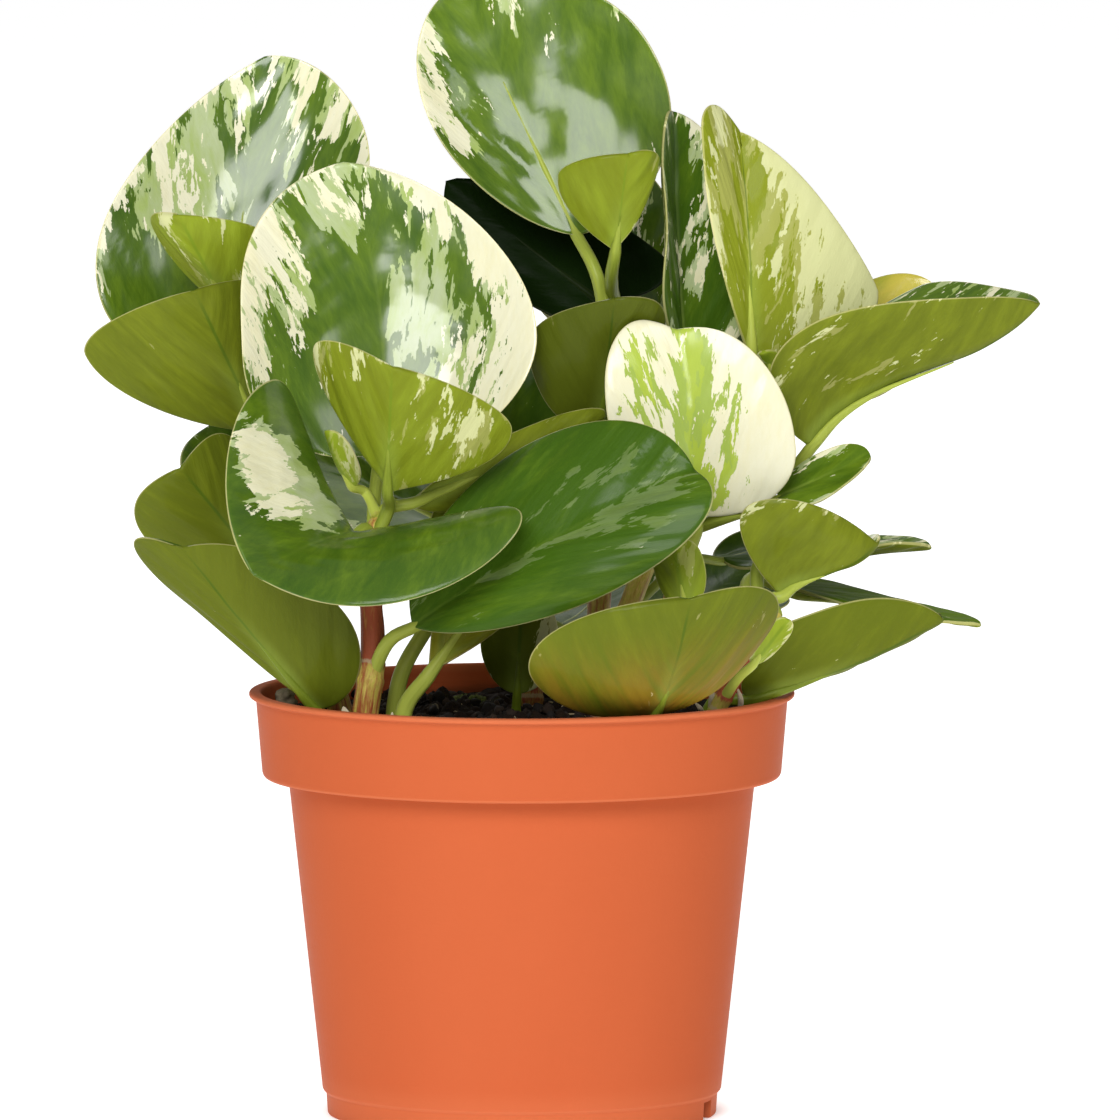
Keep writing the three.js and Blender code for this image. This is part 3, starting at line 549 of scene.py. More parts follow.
def lump_skin(centre, size, seed, kind, rough=0.25, rings=7, sides=10):
    """A lump: a ball whose radius varies with direction by a few random waves."""
    random = np.random.default_rng(seed)
    polar = np.linspace(0, math.pi, rings + 2)[1:-1, None]
    around = np.linspace(0, 2 * math.pi, sides, endpoint=False)
    way = np.stack([np.sin(polar) * np.cos(around), np.sin(polar) * np.sin(around),
                    np.cos(polar) + 0 * around], -1)
    push = random.normal(0, 1, (4, 3))
    bumps = 1 + rough * np.cos(way @ push.T * 2.2 + random.uniform(0, 6, 4)).sum(-1) / 2
    grid = centre + way * bumps[..., None] * size
    pole = np.array([0, 0, 1]) * size
    return closed_skin(grid, centre + pole, centre - pole, {"kind": np.full((rings, sides), kind)})


def make_piece(name, skins, materials, nodes=(), sharp=None):
    """Puts skins into one mesh object, which rides with the object's only body."""
    mesh = bpy.data.meshes.new(name)
    offset = np.cumsum([0] + [len(s["points"]) for s in skins])
    points = np.concatenate([s["points"] for s in skins]) * MM
    quads = np.concatenate([s["quads"] + o for s, o in zip(skins, offset)])
    caps = np.concatenate([s["caps"] + o for s, o in zip(skins, offset)])
    slots = np.concatenate([np.full(len(s["quads"]), s["material"]) for s in skins]
                           + [np.full(len(s["caps"]), s["material"]) for s in skins])
    loops = np.concatenate([quads.ravel(), caps.ravel()])
    sizes = np.concatenate([np.full(len(quads), 4), np.full(len(caps), 3)])
    mesh.vertices.add(len(points))
    mesh.vertices.foreach_set("co", points.astype(np.float32).ravel())
    mesh.loops.add(len(loops))
    mesh.loops.foreach_set("vertex_index", loops.astype(np.int32))
    mesh.polygons.add(len(sizes))
    mesh.polygons.foreach_set("loop_start", (np.cumsum(sizes) - sizes).astype(np.int32))
    mesh.polygons.foreach_set("loop_total", sizes.astype(np.int32))
    mesh.polygons.foreach_set("material_index", slots.astype(np.int32))
    mesh.polygons.foreach_set("use_smooth", np.ones(len(sizes), bool))
    mesh.update(calc_edges=True)
    for key in sorted({k for s in skins for k in s["values"]}):
        like = next(s["values"][key] for s in skins if key in s["values"])
        wide = like.ndim == 2
        rows = [s["values"].get(key, np.zeros((len(s["points"]), *like.shape[1:]))) for s in skins]
        kept = mesh.attributes.new(key, "FLOAT_VECTOR" if wide else "FLOAT", "POINT")
        kept.data.foreach_set("vector" if wide else "value",
                              np.concatenate(rows).astype(np.float32).ravel())
    if mesh.validate():
        raise RuntimeError(f"{name}: its faces don't make a sound mesh")
    if sharp:
        mesh.set_sharp_from_angle(angle=math.radians(sharp))
    for material in materials:
        mesh.materials.append(material)
    piece = bpy.data.objects.new(name, mesh)
    bpy.context.scene.collection.objects.link(piece)
    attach(piece, "root")
    if nodes:
        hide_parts(*nodes)


# Leaf shape
def leaf_frame(leaf):
    """The blade's normal and the four handles of its midrib."""
    base, tip, left, right = (np.array(leaf[k], float) for k in ("base", "tip", "left", "right"))
    normal = unit(np.cross(right - left, tip - base))
    side = np.cross(unit(tip - base), normal)
    handles = [base]
    for share, wave in ((1 / 3, leaf["wave"]), (2 / 3, -leaf["wave"])):
        handles.append(base + (tip - base) * share + side * BOW_REACH * leaf["sway"]
                       + normal * (BOW_REACH * leaf["bow"] + WAVE_REACH * wave))
    return normal, handles + [tip]


def midrib(handles, u):
    """Cubic Bezier curve of the midrib."""
    u = np.asarray(u, float)[..., None]
    a, b, c, d = handles
    return a * (1 - u) ** 3 + 3 * b * u * (1 - u) ** 2 + 3 * c * u**2 * (1 - u) + d * u**3


def wing_width(u, widest, taper, full):
    """Share of a wing's width at u: the root of a parabola up to the widest place, then a
    superellipse to the tip."""
    near = np.maximum(0, 1 - (1 - np.minimum(u, widest) / widest) ** 2) ** taper
    far = np.maximum(0, 1 - np.maximum(0, (u - widest) / (1 - widest)) ** full) ** (1 / full)
    return np.where(u < widest, near, far)


def blade_face(leaf, u, v, ahead=0.0):
    """Upper face of a blade: the midrib's point at u, plus each wing's edge times its share of v
    and its width at u, plus the wing's bulge and warp along the normal. ahead moves the point
    along the midrib with the widths kept."""
    normal, handles = leaf_frame(leaf)
    # How far from the midrib the fold between the wings is round
    fold = 0.05
    shares = [(np.sqrt(v**2 + fold**2) + s * v) / 2 for s in (-1, 1)]
    reaches = [share * wing_width(u, leaf["widest"][k], leaf["taper"][k], leaf["full"][k])
               for k, share in enumerate(shares)]
    along = (u + ahead) * (1 + leaf["notch"] * np.sin(math.pi * np.minimum(1, sum(reaches))))
    point = midrib(handles, along)
    for k, landmark in enumerate(("left", "right")):
        reach = reaches[k]
        edge = np.array(leaf[landmark], float) - midrib(handles, leaf["widest"][k])
        lift = 4 * leaf["bulge"][k] * reach * (1 - reach)
        lift = lift + leaf["warp"][k] * (u + ahead - leaf["widest"][k]) * reach
        point = point + edge * reach[..., None] + normal * lift[..., None]
    return point


def patchy(amounts, patches, u, v):
    """How strongly a marking shows at a point: from the midrib's amount to the margins', plus
    patches that fade as bells and lean outward towards the tip."""
    left, centre, right = np.broadcast_to(amounts, 3)
    side = np.where(v < 0, left, right)
    field = centre + (side - centre) * np.clip(np.abs(v), 0, 1) ** 1.4
    for at, across, size, strength in patches:
        lean = (u - at) - 0.35 * (np.abs(v) - abs(across))
        away = (lean / size) ** 2 + ((v - across) / (1.5 * size)) ** 2
        field = field + strength * np.exp(-away)
    return field


def blade_skin(leaf, look, sizes, seed):
    """A blade: rings of points that run over the upper face and back under the lower one. Both lie
    half the thickness from the middle, which thins to a round margin; a groove follows the midrib
    above and a ridge below, and soft swellings follow the veins."""
    rows, columns = (34, 23) if leaf["small"] else (58, 35)
    # A small step along the face, and how far the midrib counts as being from the margin
    small, far = 1e-3, 20.0
    angle = np.linspace(0, math.pi, rows + 2)[1:-1, None]
    u, v = np.broadcast_arrays((1 - np.cos(angle)) / 2,
                               np.sin(math.pi / 2 * np.linspace(-1, 1, columns))[None])
    face = blade_face(leaf, u, v)
    normal = unit(np.cross(blade_face(leaf, u, v + small) - blade_face(leaf, u, v - small),
                           blade_face(leaf, u, v, small) - blade_face(leaf, u, v, -small)))
    from_rib = np.linalg.norm(face - blade_face(leaf, u, 0 * v), axis=-1)
    to_edge = np.linalg.norm(face - blade_face(leaf, u, np.sign(v) + 0.0), axis=-1)
    to_edge = np.where(v == 0, far, to_edge)
    long = np.linalg.norm(np.subtract(leaf["tip"], leaf["base"]))
    vein = u * long - VEIN_SLANT * from_rib
    thick = (sizes.blade + (sizes.margin - sizes.blade) * v**2) / MM
    # How squarely the thickness ends at the margins and at both ends
    side_square, end_square = 26, 40
    half = thick / 2 * np.sqrt(np.maximum(0, 1 - np.abs(v) ** side_square))
    half = half * np.sqrt(1 - np.abs(2 * u - 1) ** end_square)
    # Slow waves of the margins, swellings between the veins, and a soft unevenness all over
    sway = 0.014 * long * np.abs(v) ** 2.5 * waves(u * long, np.sign(v) * 40, 0.7 * long, seed, 8)
    swell = sizes.ripple / MM * waves(vein, 0.25 * from_rib * np.sign(v), 7.5, seed + 3, 12)
    swell = swell * (1 - v**6) * np.minimum(1, from_rib / 2)
    soft = 0.09 * waves(u * long, v * 20, 15.0, seed + 7, 12) * (1 - v**8)
    groove = 0.32 * bell(from_rib, 0.9) * (1 - u) ** 0.4
    ridge = 0.45 * bell(from_rib, 1.0) * (1 - u)
    body = (sway + (swell + soft) * np.sin(math.pi * u) ** 0.5)[..., None] * normal
    middle = face - normal * (thick / 2)[..., None] + body
    top = middle + normal * (half - groove * np.minimum(1, half * 2))[..., None]
    under = middle - normal * (half + ridge * np.minimum(1, half * 2))[..., None]

    def both(upper, lower):
        return np.concatenate([upper, lower[:, -2:0:-1]], axis=1)

    below = np.zeros(u.shape)
    below[:, [0, -1]] = 0.5
    flow = np.stack([vein + APART * seed, from_rib * np.sign(v), 0 * v + seed], -1)
    field = patchy(look["cream"], look["patches"], u, v)
    sage = patchy(0, look["pale"], u, v)
    values = {
        "flow": both(flow, flow), "cream": both(field, field), "under": both(below, below + 1),
        "edge": both(to_edge, to_edge), "rib": both(from_rib, from_rib), "along": both(u, u),
        "sage": both(sage, sage),
    }
    for key in ("light", "blush", "line", "soft", "gloss"):
        values[key] = np.full((rows, 2 * columns - 2), look[key])
    base, tip = (blade_face(leaf, np.array(end), np.array(0.0)) - leaf_frame(leaf)[0] * 0.5
                 for end in (0.0, 1.0))
    return closed_skin(both(top, under), base, tip, values)


def stalk_skin(leaf, look):
    """A stalk: a grooved tube from the stem or soil to the blade, running on under the midrib as a
    keel that thins out."""
    normal, handles = leaf_frame(leaf)
    size = 0.75 if leaf["small"] else 1.0
    if "stem" in leaf:
        path, _ = smooth_path(STEMS[leaf["stem"]]["path"], CURVE_STEPS)
        start = path[int(round(leaf["at"] * (CURVE_STEPS - 1)))]
    else:
        start = np.array(leaf["root"], float)
    base = handles[0]
    slope = unit(midrib(handles, 0.01) - base)
    entry = base - slope * 0.35 * np.linalg.norm(start - base)
    keel = [midrib(handles, u) - normal * depth
            for u, depth in ((0.02, 1.6), (0.15, 1.35), (0.3, 1.1), (0.62, 0.8))]
    path, run = smooth_path([start, entry, *keel], STALK_RINGS)
    steps = np.arange(STALK_RINGS)
    marks = [np.linalg.norm(path - point, axis=1).argmin() for point in [start, entry, *keel]]
    thinning = np.interp(steps, marks, [1, 0.95, 0.85, 0.62, 0.4, 0.1])
    radius = thinning * size * leaf["stalk"] * (1 + 0.22 * bell(run, 2.2))
    share = np.interp(steps, [0, marks[2]], [0, 1])
    whole = (STALK_RINGS, STALK_SIDES)
    # The stalk's light value, raised by its stalk value, is partly painted light and shade
    values = {"share": np.broadcast_to(share[:, None], whole),
              "blush": np.full(whole, look["blush"]),
              "light": np.full(whole, look["light"] + look["stalk"])}
    return tube_skin(path, radius, STALK_SIDES, values, groove=0.1, material=1)


# Finishes
def leaf_finish(name, tints, deep, fresh, olive, moss):
    """Skin of a blade, with two greens for its upper side and two for its underside. Noise drawn
    out along the veins breaks the cream amount into crisp blotches, streaks and flecks, with sage
    patches of a second noise between them and the green. The upper side is glossy with a pale
    midrib and faint veins, the underside olive and matte, with a dark line along the midrib and a
    pale keel at its foot."""
    f = Finish(name, coat_roughness=0.15, coat_ior=1.5, ior=1.42, specular_ior_level=0.06)
    along, across, seed = f.place("flow")
    under, edge, rib = f.measure("under"), f.measure("edge"), f.measure("rib")
    amount, light, share = f.measure("cream"), f.measure("light"), f.measure("along")

    def veined(run, over, shift, detail, roughness, distortion=0.0):
        """Noise whose scale along and across the veins is given."""
        at = f.at(along * run, across * over, seed + shift)
        return f.noise(at, detail, roughness, distortion)

    broad = veined(0.045, 0.12, 0.0, 2.0, 0.5)
    streak = veined(0.16, 0.27, 31.0, 5.0, 0.60, 0.6)
    speck = veined(0.42, 0.95, 57.0, 3.0, 0.6)
    other = veined(0.10, 0.20, 83.0, 4.0, 0.6, 0.6)
    creamy = (amount + broad * 0.38 + streak * 0.42 + speck * 0.19).step(0.59, 0.62)
    sage = amount * 0.85 + f.measure("sage") + broad * 0.30 + other * 0.42 + speck * 0.08
    sage = sage.step(0.46, 0.50)
    cloud = veined(0.05, 0.05, 11.0, 3.0, 0.5)
    vein = veined(0.26, 0.02, 3.0, 2.0, 0.5)
    # The blade's lightness follows its light value, which also stands for how much light falls on
    # the leaf
    bright = light + cloud * 0.20 + vein * 0.04 + other * 0.22 + speck * 0.08
    green = f.mix(bright.step(0.05, 0.95), deep, fresh)
    green = f.mix(light.step(0.9, 1.4), green, (0.36, 0.46, 0.055))
    soft = f.mix((cloud * 0.5 + streak * 0.5 + 1.1 - light).step(-0.3, 1.4), tints.pale, tints.sage)
    upper = f.mix(sage * f.measure("soft"), green, soft)
    yellow = (speck * 0.7 + cloud + other * 0.6).step(-1.0, 2.2)
    cream = f.mix(yellow * 0.45, tints.cream, tints.butter)
    upper = f.mix(creamy, upper, cream)
    line = (1.0 - rib.step(0.12, 0.62)) * (1.0 - share.step(0.1, 0.95)) * f.measure("line")
    upper = f.mix(line, upper, tints.pale)
    rim = 1.0 - edge.step(0.12, 0.42)
    upper = f.mix(rim * 0.5, upper, tints.butter)
    mottle = veined(0.2, 0.14, 71.0, 4.0, 0.62)
    bloom = light + mottle * 0.30 + cloud * 0.22 + speck * 0.04
    lower = f.mix(bloom.step(-0.1, 1.2), olive, moss)
    lower = f.mix(sage * 0.22, lower, tints.butter)
    lower = f.mix(creamy * 0.85, lower, (0.56, 0.57, 0.29))
    dark = (1.0 - rib.step(0.12, 0.5)) * share.step(0.05, 0.3) * (1.0 - share.step(0.8, 1.0))
    lower = f.mix(dark * 0.6, lower, deep)
    keel = (1.0 - rib.step(0.3, 3.6)) * (1.0 - share.step(0.1, 0.75))
    lower = f.mix(keel * 0.35, lower, tints.pale)
    lower = f.mix(rim * 0.4, lower, tints.butter)
    tint = f.mix(under.step(0.4, 0.6), upper, lower)
    # Painted deep shade: blades whose light value is below zero turn towards near black
    tint = f.mix(light.step(-0.5, 0.0), SHADED, tint)
    warm = f.measure("blush") * under * (1.0 - share.step(0.0, 0.9))
    warm = warm * (cloud + vein * 0.5).step(-0.9, 0.7)
    tint = f.mix(warm * 0.5, tint, (0.40, 0.15, 0.02))
    pores = veined(5.0, 5.0, 0.0, 2.0, 0.5)
    fine = f.bump(pores, 0.08, 0.00012)
    swell = veined(0.10, 0.025, 19.0, 2.0, 0.5)
    relief = streak * 0.2 + mottle * 0.5 + vein * 0.3 + swell * 1.5 + cloud
    return f.dress(base_color=tint, normal=f.bump(relief, 0.3, 0.0005, fine),
                   roughness=0.42 + under * 0.14 + pores * 0.015,
                   coat_weight=(0.8 - under * 0.72) * f.measure("gloss"))


def stalk_finish(stems):
    """Juicy green skin of the stalks, paler towards the blade and red at the foot of some."""
    f = Finish("stalk skin", coat_weight=0.1, coat_roughness=0.25, ior=1.42,
               specular_ior_level=0.15)
    x, y, run = f.place("flow")
    streak = f.noise(f.at(x * 0.9, y * 0.9, run * 0.07), 3.0, 0.6)
    share, light = f.measure("share"), f.measure("light")
    # Painted light and shade: the stalk's brightness follows its leaf's light value
    skin = f.mix((light * 1.2 + streak * 0.22 + share * 0.15).step(0.0, 1.1),
                 (0.14, 0.19, 0.012), (0.40, 0.46, 0.07))
    red = f.measure("blush") * (1.0 - share.step(0.0, 0.5)) + (1.0 - share.step(0.0, 0.16)) * 0.35
    skin = f.mix((red + streak * 0.15).step(0.15, 0.9) * 0.75, skin, stems.red)
    # Painted deep shade: stalks whose light value is below zero turn towards near black
    skin = f.mix(light.step(-0.5, 0.0), SHADED, skin)
    return f.dress(base_color=skin, roughness=0.36 + streak * 0.03,
                   normal=f.bump(streak, 0.25, 0.0002))


def stem_finish(stems):
    """Green stem skin with red-brown blush and streaks drawn out along it, and dry rings."""
    f = Finish("stem skin", coat_weight=0.06, coat_roughness=0.3, ior=1.42,
               specular_ior_level=0.15)
    x, y, run = f.place("flow")
    streak = f.noise(f.at(x * 1.1, y * 1.1, run * 0.13), 4.0, 0.65)
    fleck = f.noise(f.at(x * 2.6, y * 2.6, run * 1.1), 3.0, 0.6)
    blush, ring = f.measure("blush"), f.measure("ring")
    skin = f.mix(fleck.step(-1.2, 1.2), stems.green, (0.62, 0.43, 0.12))
    skin = f.mix((blush * 1.3 - 0.35 + streak * 0.45).step(-0.05, 0.6), skin, stems.red)
    skin = f.mix((blush * 0.5 + fleck * 0.4).step(0.7, 1.0) * 0.6, skin, (0.40, 0.12, 0.06))
    dry = (ring + fleck * 0.25).step(0.45, 0.9)
    skin = f.mix(dry * 0.75, skin, stems.bark)
    relief = f.bump(streak * 0.6 + fleck * 0.3, 0.4, 0.0003)
    return f.dress(base_color=skin, roughness=0.42 + dry * 0.25 + fleck * 0.03, normal=relief)


def pot_finish(pot):
    """Satin moulded plastic: cloudy pigment and fine rubbing marks, paler on the foot, with a
    painted highlight on the lip and painted highlight lines along the edges of foot and collar, and
    traces of soil inside."""
    f = Finish("pot plastic", ior=1.46, specular_ior_level=0.01)
    x, y, z = f.place()
    cloud = f.noise(f.at(x * 22.0, y * 22.0, z * 9.0), 4.0, 0.55)
    grain = f.noise(f.at(x * 900.0, y * 900.0, z * 900.0), 2.0, 0.5)
    rub = f.noise(f.at(x * 60.0, y * 60.0, z * 900.0), 4.0, 0.7)
    height = pot.height
    lip = z.step(height - 0.0022, height - 0.0006)
    foot = 1.0 - z.step(0.0045, 0.011)
    skin = f.mix(cloud.step(-1.6, 1.6) * 0.5, pot.plastic, (0.45, 0.089, 0.030))
    # Painted highlight: the lip is paler, along with real rubbing marks
    skin = f.mix(lip * 0.35 + rub.step(0.9, 1.6) * 0.22, skin, pot.wear_and_highlight)
    skin = f.mix(foot * 0.22, skin, pot.wear_and_highlight)
    # Painted highlight lines along the edges of the foot and the collar
    for low in (0.0046, height - 0.0191):
        edge = z.step(low, low + 0.0004) * (1.0 - z.step(low + 0.0007, low + 0.0011))
        skin = f.mix(edge * 0.4, skin, pot.wear_and_highlight)
    radius = (x * x + y * y) ** 0.5
    inside = z.step(0.0785, 0.080) * (1.0 - radius.step(0.0569, 0.0573))
    dirt = (inside * 0.5 + cloud * 0.2 + rub * 0.1 - (z - 0.087) * 90.0).step(0.25, 0.8) * inside
    skin = f.mix(dirt * 0.8, skin, (0.05, 0.025, 0.014))
    relief = f.bump(grain * 0.5 + rub * 0.35 + cloud, 0.18, 0.00012)
    return f.dress(base_color=skin, roughness=0.42 + cloud * 0.03 + rub * 0.03 + dirt * 0.3,
                   normal=relief)


def soil_finish(soil):
    """Dark peat: nearly black hollows, brown crumbs and a green bloom of moss in places."""
    f = Finish("potting mix", ior=1.4, specular_ior_level=0.2)
    x, y, z = f.place()
    clod = f.noise(f.at(x * 90.0, y * 90.0, z * 90.0), 5.0, 0.65)
    grit = f.noise(f.at(x * 700.0, y * 700.0, z * 700.0), 4.0, 0.7)
    patch = f.noise(f.at(x * 38.0, y * 38.0, z * 38.0), 2.0, 0.5)
    tint = f.mix((clod * 0.5 + grit * 0.5).step(-0.6, 1.4), soil.peat, soil.dust)
    tint = f.mix((patch + grit * 0.4).step(0.55, 1.2) * 0.55, tint, soil.moss)
    relief = f.bump(clod * 0.6 + grit * 0.5, 0.7, 0.0008)
    return f.dress(base_color=tint, roughness=0.86 + grit * 0.04, normal=relief)


def litter_finish(name, dark, pale, roughness):
    """Dry plant matter, dark and pale by turns along its fibres."""
    f = Finish(name, ior=1.4)
    x, y, z = f.place()
    fibre = f.noise(f.at(x * 500.0, y * 500.0, z * 500.0), 4.0, 0.7)
    kind = f.measure("kind")
    tint = f.mix((kind + fibre * 0.25).step(0.0, 1.0), dark, pale)
    return f.dress(base_color=tint, roughness=roughness + fibre * 0.05,
                   normal=f.bump(fibre, 0.5, 0.0003))


# Pot and soil
def ring_skin(profile, angles):
    """A shape turned round the pot's axis: a closed profile of (radius, height) at every angle."""
    radius, height = np.asarray(profile, float).T
    return np.stack([radius * np.cos(angles)[:, None], radius * np.sin(angles)[:, None],
                     height + 0 * angles[:, None]], -1)


def rounded(profile, size=0.45, steps=4):
    """A profile whose corners are turned into short parabolas."""
    points = np.asarray(profile, float)
    before, after = np.roll(points, 1, 0) - points, np.roll(points, -1, 0) - points
    reach = [np.minimum(size, 0.45 * np.linalg.norm(way, axis=1))[:, None] * unit(way)
             for way in (before, after)]
    t = np.linspace(0, 1, steps)[:, None, None]
    curve = ((points + reach[0]) * (1 - t) ** 2 + points * 2 * t * (1 - t)
             + (points + reach[1]) * t**2)
    return curve.transpose(1, 0, 2).reshape(-1, 2)


def soil_height(x, y):
    """Height of the soil as it is packed: two slow waves round the mean level."""
    return 0.9 * np.sin(0.16 * x + 1.3) * np.cos(0.13 * y) + 0.5 * np.sin(0.41 * x - 0.33 * y)


class PEPEROMIA_OT_pot(bpy.types.Operator):
    """Makes the moulded nursery pot"""
    bl_idname = "peperomia.pot"
    bl_label = "Make the pot"

    def execute(self, context):
        pot = context.scene.peperomia.pot
        top, lip, wall = pot.height / MM, pot.lip / MM, pot.wall / MM
        collar, floor, under_floor, slot_top = top - 18.8, 5.4, 3.6, 3.9
        # From the centre pad under the floor to the foot ring, up the outer wall, the collar and
        # the lip, down the inner wall and back over the floor
        profile = [
            (8, 0), (8.4, under_floor), (40.8, under_floor), (41.2, 0), (42.8, 0), (43.1, 4.7),
            (43.9, floor), (51.4, collar), (56.6, collar), (57.1, collar + 0.8), (58.5, top - 1.5),
            (lip - 0.3, top - 1.2), (lip, top - 0.9), (lip, top - 0.35), (lip - 0.4, top),
            (58.7 - wall, top), (58.4 - wall, top - 0.6), (57.0 - wall, collar + wall),
            (51.4 - wall, collar - 0.2 + wall), (43.9 - wall, 6.2), (43.1 - wall, floor),
            (1.0, floor), (1.0, 0.0),
        ]
        # A slot is cut by raising the points of the foot and the floor to its ceiling
        slots = np.radians([-18, 42, 102, 162])
        half_slot = np.arctan2(2.5, 42.0)
        edges = half_slot * np.array([-1.02, -1, -0.6, 0, 0.6, 1, 1.02])
        angles = np.concatenate([np.linspace(0, 2 * math.pi, 192, endpoint=False),
                                 (slots[:, None] + edges).ravel() % (2 * math.pi)])
        angles = np.unique(angles.round(6))
        grid = ring_skin(rounded(profile), angles)
        turned = (angles[:, None] - slots + math.pi) % (2 * math.pi) - math.pi
        in_slot = (np.abs(turned).min(1) < half_slot * 1.001)[:, None]
        radius = np.linalg.norm(grid[..., :2], axis=-1)
        for outer, ceiling in ((43.8, slot_top), (40.4, floor - 0.1)):
            cut = in_slot & (radius > 36.8) & (radius < outer) & (grid[..., 2] < ceiling)
            grid[..., 2] = np.where(cut, ceiling, grid[..., 2])
        make_piece("nursery_pot", [ring_of_rings(grid)], [pot_finish(pot)], ["pot"],
                   sharp=38)
        return {"FINISHED"}


class PEPEROMIA_OT_soil(bpy.types.Operator):
    """Makes the potting mix with its clods"""
    bl_idname = "peperomia.soil"
    bl_label = "Make the soil"

    def execute(self, context):
        soil = context.scene.peperomia.soil
        level = soil.level / MM
        rim, clod_count, batches = 56.2, 900, 12
        # How high a clod is for its reach, and how deep all clods are sunk
        domed, sunk = 0.62, 0.4
        angles = np.linspace(0, 2 * math.pi, 300, endpoint=False)
        radius = np.linspace(0.6, rim, 96)
        x, y = radius[:, None] * np.cos(angles), radius[:, None] * np.sin(angles)
        relief = soil_height(x, y) + 0.55 * waves(x, y, 9, 1) + 0.4 * waves(x, y, 4.2, 2)
        random = np.random.default_rng(3)
        spots = rim * np.sqrt(random.uniform(0, 1, clod_count))
        spots = spots * np.exp(1j * random.uniform(0, 7, clod_count))
        reach = random.uniform(0.8, 2.6, clod_count)
        clods = np.full(x.shape, -sunk)
        for part in np.array_split(np.arange(clod_count), batches):
            away = np.abs((x + 1j * y)[..., None] - spots[part]) / reach[part]
            domes = reach[part] * domed * np.sqrt(np.maximum(0, 1 - away**2)) - sunk
            clods = np.maximum(clods, domes.max(-1))
        relief = relief + clods - 0.2
        # The relief fades to a quarter towards the wall
        relief = relief * np.clip((rim + 0.4 - radius[:, None]) / 2.5, 0.25, 1)
        top = np.stack([x, y, level + relief], -1)[::-1]
        bottom = 5.7
        sides = [(55.9, level - 3.5), (55.4, 76.3), (49.9, 76.1), (49.6, 74), (42.4, 7.4),
                 (41, bottom)]
        wall = ring_skin(sides, angles).transpose(1, 0, 2)
        grid = np.concatenate([wall[::-1], top])
        skin = closed_skin(grid, np.array([0, 0, bottom]), top[-1].mean(0), {})
        make_piece("potting_mix", [skin], [soil_finish(soil)], ["soil"])
        return {"FINISHED"}


def soil_spots(count, seed, limit=55.0):
    """Random places on the soil, evenly spread, with the soil's height there."""
    random = np.random.default_rng(seed)
    spot = limit * np.sqrt(random.uniform(0, 1, count)) * np.exp(1j * random.uniform(0, 7, count))
    return np.stack([spot.real, spot.imag, soil_height(spot.real, spot.imag)], -1), random


class PEPEROMIA_OT_litter(bpy.types.Operator):
    """Makes the loose crumbs, fibres and moss on the soil"""
    bl_idname = "peperomia.litter"
    bl_label = "Make the crumbs, fibres and moss"

    def execute(self, context):
        plant = context.scene.peperomia
        soil, level = plant.soil, plant.soil.level / MM
        # Crumbs: lumps with three random half axes, sunk a little
        spots, random = soil_spots(soil.crumbs, 21)
        sizes = random.uniform(0.35, 1.5, (soil.crumbs, 1))
        sizes = sizes * random.uniform(0.6, 1.2, (soil.crumbs, 3))
        crumbs = [lump_skin(spot + (0, 0, level + 0.45 * size[2] + 0.25), size, 100 + k,
                            random.uniform(-0.3, 0.75))
                  for k, (spot, size) in enumerate(zip(spots, sizes))]
        dry = litter_finish("dry crumbs", soil.peat, soil.dust, 0.85)
        make_piece("soil_crumbs", crumbs, [dry])

        # Fibres: thin tubes along an arc that rises and bends aside in its middle
        spots, random = soil_spots(soil.fibres, 22, 53.0)
        steps, sides = 12, 6
        fibres = []
        for spot in spots:
            turn, reach = random.uniform(0, 7), random.uniform(2, 7)
            way = np.array([math.cos(turn), math.sin(turn), 0])
            side = np.array([-way[1], way[0], 0]) * random.uniform(-0.3, 0.3)
            lift = random.uniform(0.2, 1.6)
            middle = spot + (0, 0, level + 0.2)
            half, rise = way * reach / 2, random.uniform(-0.3, 1.5)
            path, _ = smooth_path([middle - half, middle + side * reach + (0, 0, lift),
                                   middle + half + (0, 0, rise)], steps)
            thin = np.interp(np.arange(steps), [0, 3, steps - 1], [0.08, 0.2, 0.06])
            thin = thin * random.uniform(0.6, 1.5)
            kind = np.full((steps, sides), random.uniform(0, 1))
            fibres.append(tube_skin(path, thin, sides, {"kind": kind}))
        straw = litter_finish("dry fibres", soil.peat, plant.stems.bark, 0.8)
        make_piece("soil_fibres", fibres, [straw])

        # Cushions of moss, each of small balls over a paraboloid: x, y, radius and height
        cushions = ((-51.5, -9, 3.2, 2.4), (-47, -17, 4, 0.8), (39, -33, 3.5, 0.8),
                    (-12, 34, 4, 0.8), (30, 26, 4, 0.9), (8, -18, 3.5, 0.6))
        balls, moss = 70, []
        for k, (x, y, spread, height) in enumerate(cushions):
            random = np.random.default_rng(300 + k)
            for j in range(balls):
                spot = spread * np.sqrt(random.uniform()) * np.exp(1j * random.uniform(0, 7))
                rise = height * (1 - (abs(spot) / spread) ** 2)
                centre = (x + spot.real, y + spot.imag, level + rise + 0.3 + soil_height(x, y))
                moss.append(lump_skin(np.array(centre), random.uniform(0.25, 0.6, 3),
                                      900 + 80 * k + j, random.uniform(0, 1), 0.3, 4, 6))
        green = litter_finish("moss", soil.moss, (0.13, 0.16, 0.035), 0.9)
        make_piece("moss_cushions", moss, [green])
        return {"FINISHED"}


